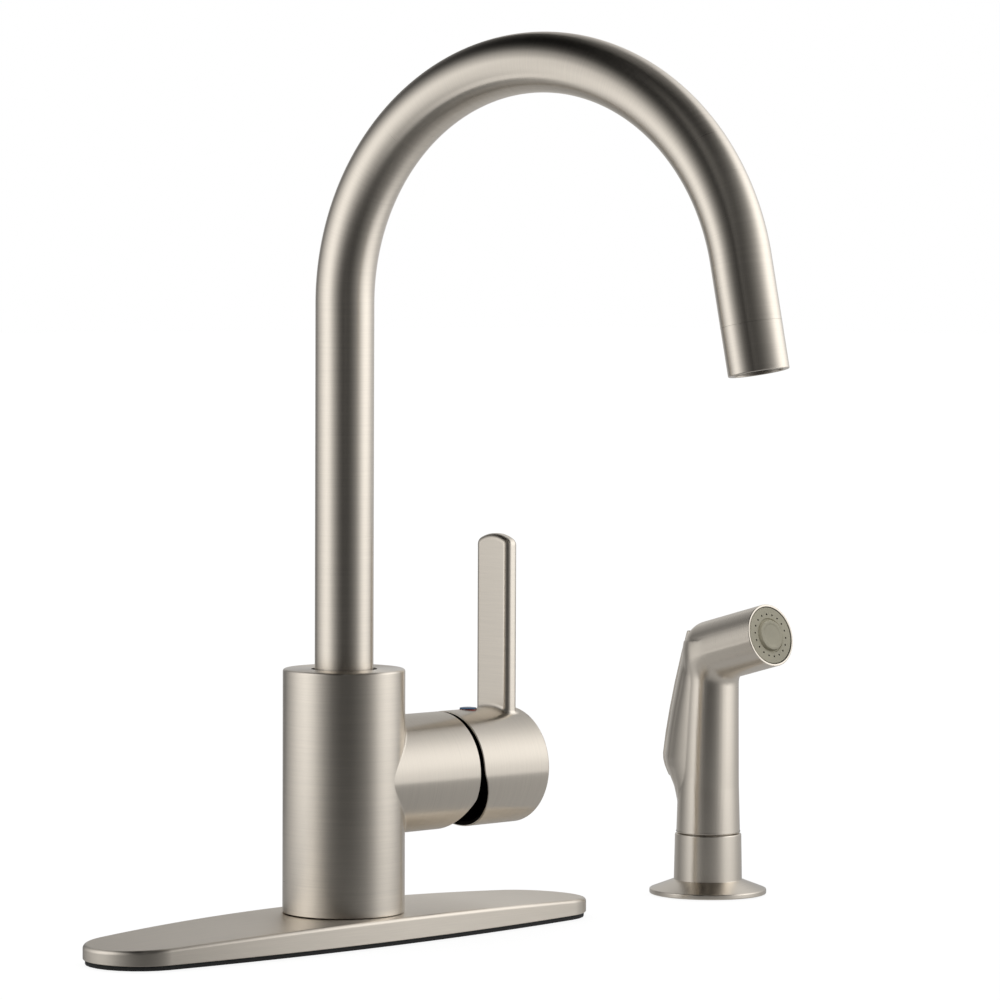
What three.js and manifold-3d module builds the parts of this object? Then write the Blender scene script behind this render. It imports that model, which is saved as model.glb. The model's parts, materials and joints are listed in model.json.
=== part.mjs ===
// A kitchen faucet with a gooseneck spout, one lever handle and a side spray.
// Millimetres, +Z up. The origin is on the valve body's axis, level with the sink deck.
// +X points to the handle's side, -Y to the user.
import * as THREE from 'three';
import { mergeVertices } from 'three/addons/utils/BufferGeometryUtils.js';
import Module from 'manifold-3d';

const wasm = await Module();
wasm.setup();

// ---------------------------------------------------------------- driving dimensions

const fit = 0.3; // gap left between two pieces that touch
const smooth = 32; // facets round a large piece that shows
const round = 16; // facets round an inner piece
const fine = 12; // facets round a small piece or bore

// deck plate
const plateLength = 260;
const plateWidth = 60.6;
const plateEndRadius = 23;
const plateHeight = 11;
const plateEndDrop = 3.4;
const plateEdgeRadius = 1.6;
const plateWall = 2;
const plateCollarWall = 2.6;
const gasketThickness = 1.6;
const gasketInset = 0.9;
const gasketRim = 9;

// valve body and its barrel
const bodyRadius = 25.05;
const bodyHeight = 111;
const bodyEdge = 1.5;
const pilotRadius = 18.6;
const barrelHeight = 65.7;
const barrelRadius = 24.35;
const barrelLength = 54.6;
const barrelEdge = 0.8;
const barrelReliefDepth = 5.2;
const barrelReliefStart = 11;

// waterways
const waterBore = 9.7;
const chamberFloor = 44;
const inletRadius = 3.4;
const inletSide = 8;
const inletOffset = 12;
const sprayOutletOffset = 13;
const portRadius = 3;

// cartridge, measured along the barrel from the body's axis
const cartridgeRadius = 17.4;
const cartridgeDepth = 32.2;
const cavityStart = barrelLength - cartridgeDepth;
const portSpread = 6.9;
const lowerPortsDrop = 5;
const upperPortRise = 7;
const sealThickness = 1.4;
const baseThickness = 3.4;
const discThickness = 2.9;
const fixedDiscRadius = 14.6;
const movingDiscRadius = 11.2;
const discGap = 0.2;
const mixPocket = new THREE.Vector3(1.2, 5, 6);
const driverThickness = 4;
const carrierFlange = 4.4;
const housingFront = 3.7;
const housingChamfer = 2;
const carrierNeck = 9.5;
const pivotSetback = 8.6;
const pivotReach = barrelLength - pivotSetback;
const pinRadius = 1.5;
const pinClearance = 0.1;
const stemWidth = 6;
const stemFootRadius = 2.2;
const stemNeckRadius = 1.7;
const stemSetback = 1.2;
const nutRadius = 20.4;
const nutThreadGap = 0.4;
const nutOpening = 13.2;
const nutSetback = 0.6;
const nutChamfer = 0.8;
const nutNotch = 2;

// handle
const capRadius = 24.4;
const handleGap = 1.9;
const capStart = barrelLength + handleGap;
const capLength = 37.5;
const capEnd = capStart + capLength;
const capWall = 2;
const capEndWall = 3;
const capEdge = 1.4;
const capReliefStart = 0.8;
const capReliefBend = new THREE.Vector2(3.5, -8);
const capReliefLength = 9.1;
const hubRadius = 8.6;
const hubSetback = 9.5;
const hubStart = capStart + hubSetback;
const stemSocketWall = 7;
const leverSetback = 11.5;
const leverInner = capEnd - leverSetback;
const leverThickness = 6.6;
const leverHalfWidth = 9.8;
const leverTop = 97.6;
const leverArch = 18;
const leverCorner = 3.4;
const leverEdge = 2.6;
const leverFlare = 1.8;
const buttonSetback = 13;
const buttonReach = capStart + buttonSetback;
const buttonRadius = 3.6;
const buttonProud = 0.5;
const screwRadius = 2.5;
const screwLength = 5;
const screwKeyRadius = 1.2;

// spout
const spoutTurn = THREE.MathUtils.degToRad(11.6);
const tubeRadius = 12;
const tubeWall = 1.4;
const tubeFoot = 98;
const bendStart = 260.25;
const bendRadius = 95.95;
const bendAngle = THREE.MathUtils.degToRad(169);
const outletStraight = 24;
const spoutSides = 24;
const boreSides = 16;
const bendSteps = 20;
const socketRadius = 12.4;
const socketFloor = 94;
const bushRadius = 13.3;
const bushHeight = 6;
const bushGap = 0.25;

// spigot
const spigotRadius = 9.3;
const spigotFoot = 77;
const spigotTop = 118;
const spigotBore = 5.5;
const spigotShoulder = 3;
const spigotChamfer = 0.6;
const ringGrooveDepth = 1.7;
const ringRadius = 0.85;
const ringHeights = { spigot_o_ring_lower: 85, spigot_o_ring_upper: 90.2 };
const clipHeight = 79.9;
const clipThickness = 1.2;
const clipDepth = 1.3;

// diverter
const diverterFoot = 48;
const diverterTop = 61.5;
const diverterWall = 2.8;
const diverterBase = 2.2;
const diverterLid = 1.5;
const diverterLidBore = 3.6;
const diverterWindow = 2;
const diverterWindowDrop = 5;
const pistonThickness = 2.6;
const pistonStem = 2.6;
const pistonStemLength = 5;
const pistonTip = 2;
const diverterWire = 0.5;
const diverterTurns = 4;
const diverterSpringGap = 1.1;

// aerator
const aeratorLength = 20;
const aeratorSleeve = 8;
const aeratorBore = 9;
const aeratorEdge = 0.5;
const aeratorLip = 1.3;
const aeratorLipBore = 7.9;
const insertLength = 10;
const insertPlate = 2;
const insertHoleRadius = 0.6;
const insertHoleStep = 2.4;
const insertWall = 1.4;
const washerThickness = 2;
const washerWidth = 2.1;

// side spray
const sprayX = 216.5;
const sprayY = 2.3;
const flangeRadius = 25.7;
const flangeEdge = 1.5;
const flangeRim = 3.2;
const flangeSlope = 5;
const collarStart = 5.6;
const collarTop = 26.5;
const collarFootRadius = 14.96;
const collarTopRadius = 14.58;
const holderBore = 12.5;
const holderFloor = 6.5;
const holderEdge = 0.7;
const hoseHole = 10;
const holderGasketDepth = 1.3;
const handsetFootRadius = 14.03;
const handsetPlugFoot = 7;
const handsetSocket = 8.5;
const handsetSocketTop = 30;
const handsetWater = 4;
const noseWater = 6;
const finRadius = 8;
const noseHeight = 105.96;
const noseRise = THREE.MathUtils.degToRad(14.8);
const noseRadius = 13.7;
const noseReach = 38.4;
const noseBack = 7.5;
const noseCorner = 9.7;
const noseEdge = 0.4;
const faceRadius = 12.4;
const faceThickness = 4;
const faceRecess = 0.7;
const faceHoles = 18;
const faceHoleRadius = 0.4;
const faceHoleCircle = 9.3;
const faceButtonRadius = 7;
const faceButtonTop = 6;
const faceButtonHeight = 1;
const couplingLength = 19;
const couplingBore = 4;
const couplingStep = 6;

// thumb lever and its valve
const triggerHalfWidth = 6.3;
const triggerThickness = 2.4;
const triggerPocketGap = 0.4;
const triggerPocketFoot = 1.1;
const triggerPinY = 5.4;
const triggerPinZ = 110.2;
const triggerPinRadius = 1.2;
const triggerPinReach = 7.4;
const triggerBoss = 2.4;
const triggerTravel = 2.8;
const triggerEdge = 0.6;
const valveHeight = 64;
const valveStemRadius = 2.4;
const valveHead = 3.4;
const valveHeadThickness = 1.2;
const valveHeadBevel = 1;
const valveRingPlace = 7.5;
const valveRingGroove = 0.8;
const valveRingWire = 0.4;
const valvePocketFloor = 11;
const valveSpringWire = 0.4;
const valveSpringTurns = 3;

// ---------------------------------------------------------------- finishes

const finish = (color, roughness, metalness) => ({ color, roughness, metalness });
const nickel = finish(0xb3aba0, 0.32, 1);
const brass = finish(0xb08d4c, 0.4, 1);
const steel = finish(0x9a9a98, 0.35, 1);
const blackRubber = finish(0x151515, 0.8, 0);
const darkPlastic = finish(0x2a2a2c, 0.55, 0);
const whitePlastic = finish(0xd8d6cf, 0.5, 0);
const greyPlastic = finish(0x8f8e80, 0.5, 0);
const ceramic = finish(0xe8e6e0, 0.25, 0);
const bluePlastic = finish(0x1d5fa8, 0.35, 0);

// ---------------------------------------------------------------- solids

// Shared corners merged, slivers dropped and all faces pointing out.
function closed(geometry) {
  const bare = new THREE.BufferGeometry();
  bare.setAttribute('position', geometry.getAttribute('position').clone());
  if (geometry.index) bare.setIndex(Array.from(geometry.index.array));
  const merged = mergeVertices(bare, 1e-4);
  const corners = merged.index.array;
  const kept = [];
  for (let i = 0; i < corners.length; i += 3) {
    const [a, b, c] = [corners[i], corners[i + 1], corners[i + 2]];
    if (a !== b && b !== c && c !== a) kept.push(a, b, c);
  }
  if (signedVolume(merged.getAttribute('position'), kept) < 0) kept.reverse();
  merged.setIndex(kept);
  return merged;
}

function signedVolume(position, index) {
  const [a, b, c] = [new THREE.Vector3(), new THREE.Vector3(), new THREE.Vector3()];
  let volume = 0;
  for (let i = 0; i < index.length; i += 3) {
    a.fromBufferAttribute(position, index[i]);
    b.fromBufferAttribute(position, index[i + 1]);
    c.fromBufferAttribute(position, index[i + 2]);
    volume += a.dot(b.cross(c)) / 6;
  }
  return volume;
}

function toManifold(geometry) {
  const body = closed(geometry);
  const vertProperties = new Float32Array(body.getAttribute('position').array);
  const triVerts = new Uint32Array(body.index.array);
  return new wasm.Manifold(new wasm.Mesh({ numProp: 3, vertProperties, triVerts }));
}

function fromManifold(manifold) {
  const { vertProperties, triVerts } = manifold.getMesh();
  const geometry = new THREE.BufferGeometry();
  geometry.setAttribute('position', new THREE.Float32BufferAttribute(vertProperties, 3));
  geometry.setIndex(Array.from(triVerts));
  return geometry;
}

function joined(first, ...others) {
  const whole = others.reduce((sum, other) => sum.add(toManifold(other)), toManifold(first));
  return fromManifold(whole);
}

function cut(stock, ...tools) {
  const left = tools.reduce((rest, tool) => rest.subtract(toManifold(tool)), toManifold(stock));
  return fromManifold(left);
}

// A profile of [radius, height] corners turned about Z.
function turned(profile, segments = round) {
  const corners = [...profile, profile[0]].map(([radius, height]) => new THREE.Vector2(radius, height));
  return closed(new THREE.LatheGeometry(corners, segments).rotateX(Math.PI / 2));
}

function rod(radius, low, high, segments = round) {
  return turned([[0, low], [radius, low], [radius, high], [0, high]], segments);
}

function pipe(outer, inner, low, high, segments = round) {
  return turned([[inner, low], [outer, low], [outer, high], [inner, high]], segments);
}

// Turns a piece that stands on Z so that it lies along +X, and one so that it lies along +Y.
const alongX = (geometry) => geometry.rotateY(Math.PI / 2);
const alongY = (geometry) => geometry.rotateX(-Math.PI / 2);

function block(low, high) {
  const size = new THREE.Vector3().subVectors(high, low);
  const middle = new THREE.Vector3().addVectors(low, high).multiplyScalar(0.5);
  return new THREE.BoxGeometry(size.x, size.y, size.z).translate(middle.x, middle.y, middle.z);
}

const at = (x, y, z) => new THREE.Vector3(x, y, z);

// The corners of a round outline or hole in a flat shape.
function roundPoints(x, y, radius, count) {
  return Array.from({ length: count }, (_, i) => {
    const angle = (2 * Math.PI * i) / count;
    return new THREE.Vector2(x + radius * Math.cos(angle), y + radius * Math.sin(angle));
  });
}

// An outline in X and Z pushed along Y, centred on the XZ plane.
function plateXZ(points, width) {
  const shape = new THREE.Shape(points.map(([x, z]) => new THREE.Vector2(x, z)));
  const geometry = new THREE.ExtrudeGeometry(shape, { depth: width, bevelEnabled: false });
  return geometry.rotateX(Math.PI / 2).translate(0, width / 2, 0);
}

// An outline in Y and Z pushed along X, centred on the YZ plane.
function plateYZ(shape, width, bevel = 0) {
  const options = { depth: width - 2 * bevel, curveSegments: 8, bevelEnabled: bevel > 0 };
  Object.assign(options, { bevelThickness: bevel, bevelSize: bevel, bevelOffset: -bevel, bevelSegments: 2 });
  const geometry = new THREE.ExtrudeGeometry(shape, options).translate(0, 0, bevel - width / 2);
  return geometry.rotateX(Math.PI / 2).rotateZ(Math.PI / 2);
}

// Points along an arc round a centre, in the plane of a profile.
function arcPoints(centre, radius, from, to, steps) {
  return Array.from({ length: steps + 1 }, (_, i) => {
    const angle = from + ((to - from) * i) / steps;
    return new THREE.Vector2(centre.x + radius * Math.cos(angle), centre.y + radius * Math.sin(angle));
  });
}

// Rings of points with as many points each, skinned into one solid with flat ends.
function lofted(rings) {
  const count = rings[0].length;
  const points = rings.flat();
  const faces = [];
  for (let r = 0; r + 1 < rings.length; r += 1) {
    for (let i = 0; i < count; i += 1) {
      const [a, b] = [r * count + i, r * count + ((i + 1) % count)];
      faces.push(a, b, b + count, a, b + count, a + count);
    }
  }
  for (const [start, flip] of [[0, true], [(rings.length - 1) * count, false]]) {
    const middle = points.length;
    const ring = points.slice(start, start + count);
    points.push(ring.reduce((sum, point) => sum.add(point), at(0, 0, 0)).divideScalar(count));
    for (let i = 0; i < count; i += 1) {
      const [a, b] = [start + i, start + ((i + 1) % count)];
      faces.push(...(flip ? [b, a, middle] : [a, b, middle]));
    }
  }
  const geometry = new THREE.BufferGeometry().setFromPoints(points);
  geometry.setIndex(faces);
  return closed(geometry);
}

// A round ring of points: centre, two unit directions across, radius.
function circle(centre, across, up, radius, count) {
  return Array.from({ length: count }, (_, i) => {
    const angle = (2 * Math.PI * i) / count;
    return centre.clone()
      .addScaledVector(across, radius * Math.cos(angle))
      .addScaledVector(up, radius * Math.sin(angle));
  });
}

// An open coil spring along Z, made of a round wire, with its ends cut square.
function coil(radius, wire, turns, low, high) {
  const steps = turns * 8;
  const rings = [];
  for (let i = 0; i <= steps; i += 1) {
    const angle = (2 * Math.PI * turns * i) / steps;
    const outward = at(Math.cos(angle), Math.sin(angle), 0);
    const middle = outward.clone().multiplyScalar(radius);
    middle.z = low + wire + ((high - low - 2 * wire) * i) / steps;
    rings.push(circle(middle, outward, at(0, 0, 1), wire, 5));
  }
  return lofted(rings);
}

function ringSeal(centreRadius, wireRadius) {
  return closed(new THREE.TorusGeometry(centreRadius, wireRadius, 6, round));
}

function piece(name, geometry, look) {
  const mesh = new THREE.Mesh(closed(geometry), new THREE.MeshStandardMaterial(look));
  mesh.name = name;
  return mesh;
}

// ---------------------------------------------------------------- deck plate

const plateBottom = gasketThickness + fit;
const collarRadius = pilotRadius + fit;

// Half outline corners of the plate, `inset` inside its edge, from the right end to the left end.
function plateEdgePoints(inset) {
  const [halfLength, halfWidth] = [plateLength / 2, plateWidth / 2];
  const endCentre = halfLength - plateEndRadius;
  const rise = halfWidth - plateEndRadius;
  const sideRadius = (endCentre ** 2 + halfWidth ** 2 - plateEndRadius ** 2) / (2 * rise);
  const sideCentre = halfWidth - sideRadius;
  const meet = Math.atan2(-sideCentre, endCentre);
  const points = [];
  const [endSteps, sideSteps] = [6, 12];
  for (let i = 0; i <= endSteps; i += 1) {
    const angle = (meet * i) / endSteps;
    const radius = plateEndRadius - inset;
    points.push([endCentre + radius * Math.cos(angle), radius * Math.sin(angle)]);
  }
  for (let i = 1; i < sideSteps; i += 1) {
    const angle = meet + ((Math.PI - 2 * meet) * i) / sideSteps;
    const radius = sideRadius - inset;
    points.push([radius * Math.cos(angle), sideCentre + radius * Math.sin(angle)]);
  }
  const mirrored = points.slice(0, endSteps + 1).map(([x, y]) => [-x, y]).reverse();
  return [...points, ...mirrored];
}

const crown = (x) => plateEndDrop * (x / (plateLength / 2)) ** 2;

// A crowned slab with the plate's outline. `levels` lists [inset, height] from the bottom up, and
// each height over `flat` sinks with the crown.
function crownedSlab(levels, flat) {
  const rings = levels.map(([inset, height]) => {
    const half = plateEdgePoints(inset);
    const full = [...half, ...half.slice(1, -1).reverse().map(([x, y]) => [x, -y])];
    return full.map(([x, y]) => at(x, y, height > flat ? height - crown(x) : height));
  });
  const count = rings[0].length;
  const points = rings.flat();
  const faces = [];
  for (let r = 0; r + 1 < rings.length; r += 1) {
    for (let i = 0; i < count; i += 1) {
      const [a, b] = [r * count + i, r * count + ((i + 1) % count)];
      faces.push(a, b, b + count, a, b + count, a + count);
    }
  }
  const last = (rings.length - 1) * count;
  for (let i = 0; i < count / 2; i += 1) {
    const [a, b] = [i, i + 1];
    const [d, c] = [(count - i) % count, (count - i - 1) % count];
    faces.push(b, a, d, b, d, c);
    faces.push(last + a, last + b, last + d, last + b, last + c, last + d);
  }
  const geometry = new THREE.BufferGeometry().setFromPoints(points);
  geometry.setIndex(faces);
  return closed(geometry);
}

function deckPlate() {
  const roundSteps = [0, 30, 60, 90].map((degrees) => THREE.MathUtils.degToRad(degrees));
  const edge = roundSteps.map((angle) => [
    plateEdgeRadius * (1 - Math.cos(angle)),
    plateHeight - plateEdgeRadius * (1 - Math.sin(angle)),
  ]);
  const outer = crownedSlab([[0, plateBottom], ...edge], plateBottom);
  const hollow = crownedSlab([[plateWall, -1], [plateWall, plateHeight - plateWall]], 0);
  const collarTop = plateHeight - plateWall / 2;
  const collar = rod(collarRadius + plateCollarWall, plateBottom, collarTop, smooth);
  return cut(joined(cut(outer, hollow), collar), rod(collarRadius, -1, plateHeight + 1, smooth));
}

function plateGasket() {
  const sheet = crownedSlab([[gasketInset, 0], [gasketInset, gasketThickness]], gasketThickness);
  const window = crownedSlab([[gasketRim, -1], [gasketRim, gasketThickness + 1]], gasketThickness + 1);
  const hub = rod(pilotRadius + gasketRim, -2, gasketThickness + 2);
  return cut(sheet, cut(window, hub), rod(collarRadius, -1, gasketThickness + 1, smooth));
}

// ---------------------------------------------------------------- valve body

const bodyFoot = plateHeight + fit;
const cavityRadius = cartridgeRadius + nutThreadGap;
const sealEnd = cavityStart + fit + sealThickness;
const baseStart = sealEnd + fit;
const discStart = baseStart + baseThickness + fit;
const movingStart = discStart + discThickness + discGap;
const driverStart = movingStart + discThickness + fit;
const carrierStart = driverStart + driverThickness + fit;
const housingShoulder = carrierStart + carrierFlange + fit;
const housingEnd = housingShoulder + housingFront;
const nutStart = housingShoulder + 1;
const ports = [[portSpread, -lowerPortsDrop], [-portSpread, -lowerPortsDrop], [0, upperPortRise]];

// Straight bores through the cartridge's ports, as [y, z] from the barrel's axis.
function portBores(radius, low, high) {
  return ports.map(([y, z]) => alongX(rod(radius, low, high, fine)).translate(0, y, z));
}

function valveBody() {
  const column = turned([
    [0, 0], [pilotRadius, 0], [pilotRadius, bodyFoot], [bodyRadius, bodyFoot],
    [bodyRadius, bodyHeight - bodyEdge], [bodyRadius - 0.3 * bodyEdge, bodyHeight - 0.3 * bodyEdge],
    [bodyRadius - bodyEdge, bodyHeight], [0, bodyHeight],
  ], smooth);
  const barrel = alongX(turned([
    [0, 0], [barrelRadius, 0], [barrelRadius, barrelLength - barrelEdge],
    [barrelRadius - 0.3 * barrelEdge, barrelLength - 0.3 * barrelEdge],
    [barrelRadius - barrelEdge, barrelLength], [0, barrelLength],
  ], smooth));
  const relief = plateXZ([
    [barrelLength + 1, -barrelReliefStart], [barrelLength, -barrelReliefStart],
    [barrelLength - barrelReliefDepth, -barrelRadius - 1], [barrelLength + 1, -barrelRadius - 1],
  ], 3 * barrelRadius);
  const cavity = alongX(rod(cavityRadius, cavityStart, barrelLength + 1));
  const thread = alongX(rod(nutRadius + nutThreadGap, nutStart, barrelLength + 1));
  const inlets = [1, -1].map((side) => rod(inletRadius, -1, barrelHeight - 5, fine)
    .translate(inletOffset, side * inletSide, 0));
  const feeds = portBores(portRadius, inletOffset, cavityStart + 1).slice(0, 2);
  const mixed = portBores(portRadius, 0, cavityStart + 1)[2];
  const sprayOutlet = rod(inletRadius, -1, chamberFloor + 4, fine).translate(-sprayOutletOffset, 0, 0);
  const raised = [barrel, relief, cavity, thread, ...feeds, mixed];
  raised.forEach((geometry) => geometry.translate(0, 0, barrelHeight));
  return cut(
    joined(column, barrel), relief, cavity, thread, ...feeds, mixed, ...inlets, sprayOutlet,
    rod(waterBore, chamberFloor, bodyHeight), rod(socketRadius, socketFloor, bodyHeight + 1),
    rod(bushRadius + bushGap, bodyHeight - bushHeight - fit, bodyHeight + 1),
    pipe(spigotRadius + clipDepth, 0.1, clipHeight - clipThickness, clipHeight + clipThickness),
  );
}

// ---------------------------------------------------------------- cartridge, along +X

function portedDisc(radius, start, thickness) {
  const end = start + thickness;
  return cut(alongX(rod(radius, start, end)), ...portBores(portRadius, start - 1, end + 1));
}

function movingDisc() {
  const disc = alongX(rod(movingDiscRadius, movingStart, movingStart + discThickness));
  const { x: depth, y: halfWidth, z: halfHeight } = mixPocket;
  const pocket = block(
    at(movingStart - 1, -halfWidth, -halfHeight), at(movingStart + depth, halfWidth, halfHeight),
  );
  return cut(disc, pocket);
}

const footReach = driverStart + stemFootRadius + fit;
const stemStart = carrierStart + stemSetback;

function discDriver() {
  const end = driverStart + driverThickness;
  const socket = rod(stemFootRadius + fit + pinClearance, driverStart - 1, end + 1);
  return cut(alongX(rod(movingDiscRadius, driverStart, end)), alongX(socket));
}

function cartridgeHousing() {
  const bore = fixedDiscRadius + fit;
  return alongX(turned([
    [bore, discStart], [cartridgeRadius, discStart], [cartridgeRadius, housingShoulder],
    [cartridgeRadius - housingChamfer, housingEnd], [carrierNeck + fit, housingEnd],
    [carrierNeck + fit, housingShoulder], [bore, housingShoulder],
  ]));
}

function cartridgeCarrier() {
  const [flangeEnd, neckEnd] = [carrierStart + carrierFlange, pivotReach + carrierNeck];
  const solid = alongX(turned([
    [0, carrierStart], [fixedDiscRadius, carrierStart], [fixedDiscRadius, flangeEnd],
    [carrierNeck, flangeEnd], [carrierNeck, neckEnd - 1], [carrierNeck - 1, neckEnd], [0, neckEnd],
  ]));
  const [slotWidth, slotHeight] = [stemWidth / 2 + fit, carrierNeck - 2];
  const slot = block(
    at(carrierStart - 1, -slotWidth, -slotHeight), at(neckEnd + 1, slotWidth, slotHeight),
  );
  const pinHole = alongY(rod(pinRadius + pinClearance, -carrierNeck, carrierNeck, fine));
  return cut(solid, slot, pinHole.translate(pivotReach, 0, 0));
}

function stemPin() {
  const half = carrierNeck - 3 * fit;
  return alongY(rod(pinRadius, -half, half, fine)).translate(pivotReach, 0, 0);
}

const stemEnd = capEnd - capEndWall - stemSocketWall;

function cartridgeStem() {
  const half = stemWidth / 2;
  const bar = block(at(stemStart, -half, -half), at(stemEnd, half, half));
  const neck = alongX(rod(stemNeckRadius, footReach, stemStart + 1, fine));
  const foot = closed(new THREE.SphereGeometry(stemFootRadius, 12, 8)).translate(footReach, 0, 0);
  const pinHole = alongY(rod(pinRadius + pinClearance, -stemWidth, stemWidth, fine))
    .translate(pivotReach, 0, 0);
  return cut(joined(bar, neck, foot), pinHole);
}

function bonnetNut() {
  const sleeve = cartridgeRadius + fit;
  const [back, front] = [nutStart + fit, barrelLength - nutSetback];
  const ring = alongX(turned([
    [sleeve, back], [nutRadius, back], [nutRadius, front - nutChamfer], [nutRadius - nutChamfer, front],
    [nutOpening, front], [nutOpening, housingEnd + fit], [sleeve, housingEnd + fit],
  ]));
  const notches = [45, 135].map((degrees) => block(
    at(front - nutNotch, -nutNotch, -nutRadius - 1), at(front + 1, nutNotch, nutRadius + 1),
  ).rotateX(THREE.MathUtils.degToRad(degrees)));
  return cut(ring, ...notches);
}

// ---------------------------------------------------------------- handle, along +X

// The blade's outline has its corners tangent to its sides and to the arch over its tip. Its foot is
// cut to the cap's round wall, halfway through it.
function leverBlade() {
  const side = leverHalfWidth;
  const root = Math.sqrt(capRadius ** 2 - side ** 2);
  const flare = [[leverFlare, -leverFlare / 2], [leverFlare / 3, leverFlare / 3], [0, 4 * leverFlare / 3]];
  const corner = new THREE.Vector2(side - leverCorner, 0);
  const archCentre = leverTop - leverArch;
  corner.y = archCentre + Math.sqrt((leverArch - leverCorner) ** 2 - corner.x ** 2);
  const turn = Math.atan2(corner.y - archCentre, corner.x);
  const half = [new THREE.Vector2(side + leverFlare, root - capWall - 2 * leverEdge)];
  half.push(...flare.map(([out, up]) => new THREE.Vector2(side + out, root + up)));
  half.push(...arcPoints(corner, leverCorner, 0, turn, 4));
  half.push(...arcPoints(new THREE.Vector2(0, archCentre), leverArch, turn, Math.PI / 2, 3).slice(1));
  const mirrored = half.slice(0, -1).reverse().map((point) => new THREE.Vector2(-point.x, point.y));
  const blade = plateYZ(new THREE.Shape([...half, ...mirrored]), leverThickness, leverEdge)
    .translate(leverInner + leverThickness / 2, 0, 0);
  return cut(blade, alongX(rod(capRadius - capWall / 2, leverInner - 1, capEnd, smooth)));
}

function handle() {
  const cap = alongX(turned([
    [0, capEnd], [capRadius - capEdge, capEnd], [capRadius - 0.3 * capEdge, capEnd - 0.3 * capEdge],
    [capRadius, capEnd - capEdge], [capRadius, capStart], [capRadius - capWall, capStart],
    [capRadius - capWall, capEnd - capEndWall], [hubRadius, capEnd - capEndWall], [hubRadius, hubStart],
    [0, hubStart],
  ], smooth));
  const relief = plateXZ([
    [capStart - 1, capReliefStart], [capStart, capReliefStart],
    [capStart + capReliefBend.x, capReliefBend.y], [capStart + capReliefLength, -capRadius - 0.5],
    [capStart - 1, -capRadius - 0.5],
  ], 3 * capRadius);
  const socketHalf = stemWidth / 2 + fit;
  const socket = block(
    at(hubStart - 1, -socketHalf, -socketHalf), at(stemEnd + fit, socketHalf, socketHalf),
  );
  const holes = [
    rod(screwRadius + fit, 0, capRadius + 1, fine),
    rod(buttonRadius + fit, capRadius - capWall - 1, capRadius + 2, fine),
  ].map((hole) => hole.translate(buttonReach, 0, 0));
  return cut(joined(cap, leverBlade()), relief, socket, ...holes);
}

function setScrew() {
  const low = stemWidth / 2 + fit;
  const screw = rod(screwRadius, low, low + screwLength, fine);
  const key = rod(screwKeyRadius, low + screwLength - 2, low + screwLength + 1, 6);
  return cut(screw, key).translate(buttonReach, 0, 0);
}

function indicatorButton() {
  const [foot, top] = [capRadius - capWall - 0.2, capRadius + buttonProud];
  const edge = 0.6 * buttonProud;
  return turned([
    [0, foot], [buttonRadius, foot], [buttonRadius, top - edge], [buttonRadius - edge, top], [0, top],
  ], fine).translate(buttonReach, 0, 0);
}

// ---------------------------------------------------------------- spout, in the plane X = 0

// Where the tube's middle line is at an angle round the bend, with the two directions across it.
function bendStation(angle) {
  return {
    centre: at(0, -bendRadius * (1 - Math.cos(angle)), bendStart + bendRadius * Math.sin(angle)),
    across: at(1, 0, 0),
    up: at(0, Math.cos(angle), Math.sin(angle)),
    ahead: at(0, -Math.sin(angle), Math.cos(angle)),
  };
}

function tubeSolid(radius, overrun, sides) {
  const rings = [circle(at(0, 0, tubeFoot - overrun), at(1, 0, 0), at(0, 1, 0), radius, sides)];
  for (let i = 0; i <= bendSteps; i += 1) {
    const { centre, across, up } = bendStation((bendAngle * i) / bendSteps);
    rings.push(circle(centre, across, up, radius, sides));
  }
  const { centre, across, up, ahead } = bendStation(bendAngle);
  const end = centre.addScaledVector(ahead, outletStraight + overrun);
  rings.push(circle(end, across, up, radius, sides));
  return lofted(rings);
}

function spigot() {
  const shoulder = tubeFoot - fit;
  const sleeve = tubeRadius - tubeWall - fit;
  const groove = (height, half, depth) => [
    [spigotRadius, height - half], [spigotRadius - depth, height - half],
    [spigotRadius - depth, height + half], [spigotRadius, height + half],
  ];
  const ringGrooves = Object.values(ringHeights)
    .flatMap((height) => groove(height, ringRadius + fit, ringGrooveDepth));
  return turned([
    [spigotBore, spigotFoot], [spigotRadius - spigotChamfer, spigotFoot],
    [spigotRadius, spigotFoot + spigotChamfer],
    ...groove(clipHeight, clipThickness / 2 + 0.2, clipDepth), ...ringGrooves,
    [spigotRadius, shoulder - spigotShoulder], [tubeRadius, shoulder - spigotShoulder],
    [tubeRadius, shoulder], [sleeve, shoulder], [sleeve, spigotTop], [spigotBore, spigotTop],
  ]);
}

function retainingClip() {
  const [inner, outer] = [spigotRadius - clipDepth + fit, spigotRadius + clipDepth - fit];
  const gap = THREE.MathUtils.degToRad(20);
  const shape = new THREE.Shape();
  shape.absarc(0, 0, outer, gap, 2 * Math.PI - gap, false);
  shape.absarc(0, 0, inner, 2 * Math.PI - gap, gap, true);
  const options = { depth: clipThickness, curveSegments: 12, bevelEnabled: false };
  return new THREE.ExtrudeGeometry(shape, options).translate(0, 0, clipHeight - clipThickness / 2);
}

function glideBush() {
  const low = bodyHeight - bushHeight;
  return pipe(bushRadius, tubeRadius + bushGap, low, bodyHeight - 0.4);
}

// ---------------------------------------------------------------- diverter

const cageBore = spigotRadius - diverterWall;
const pistonFoot = diverterFoot + diverterBase + fit;
const springTop = diverterTop - diverterLid - fit;

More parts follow.
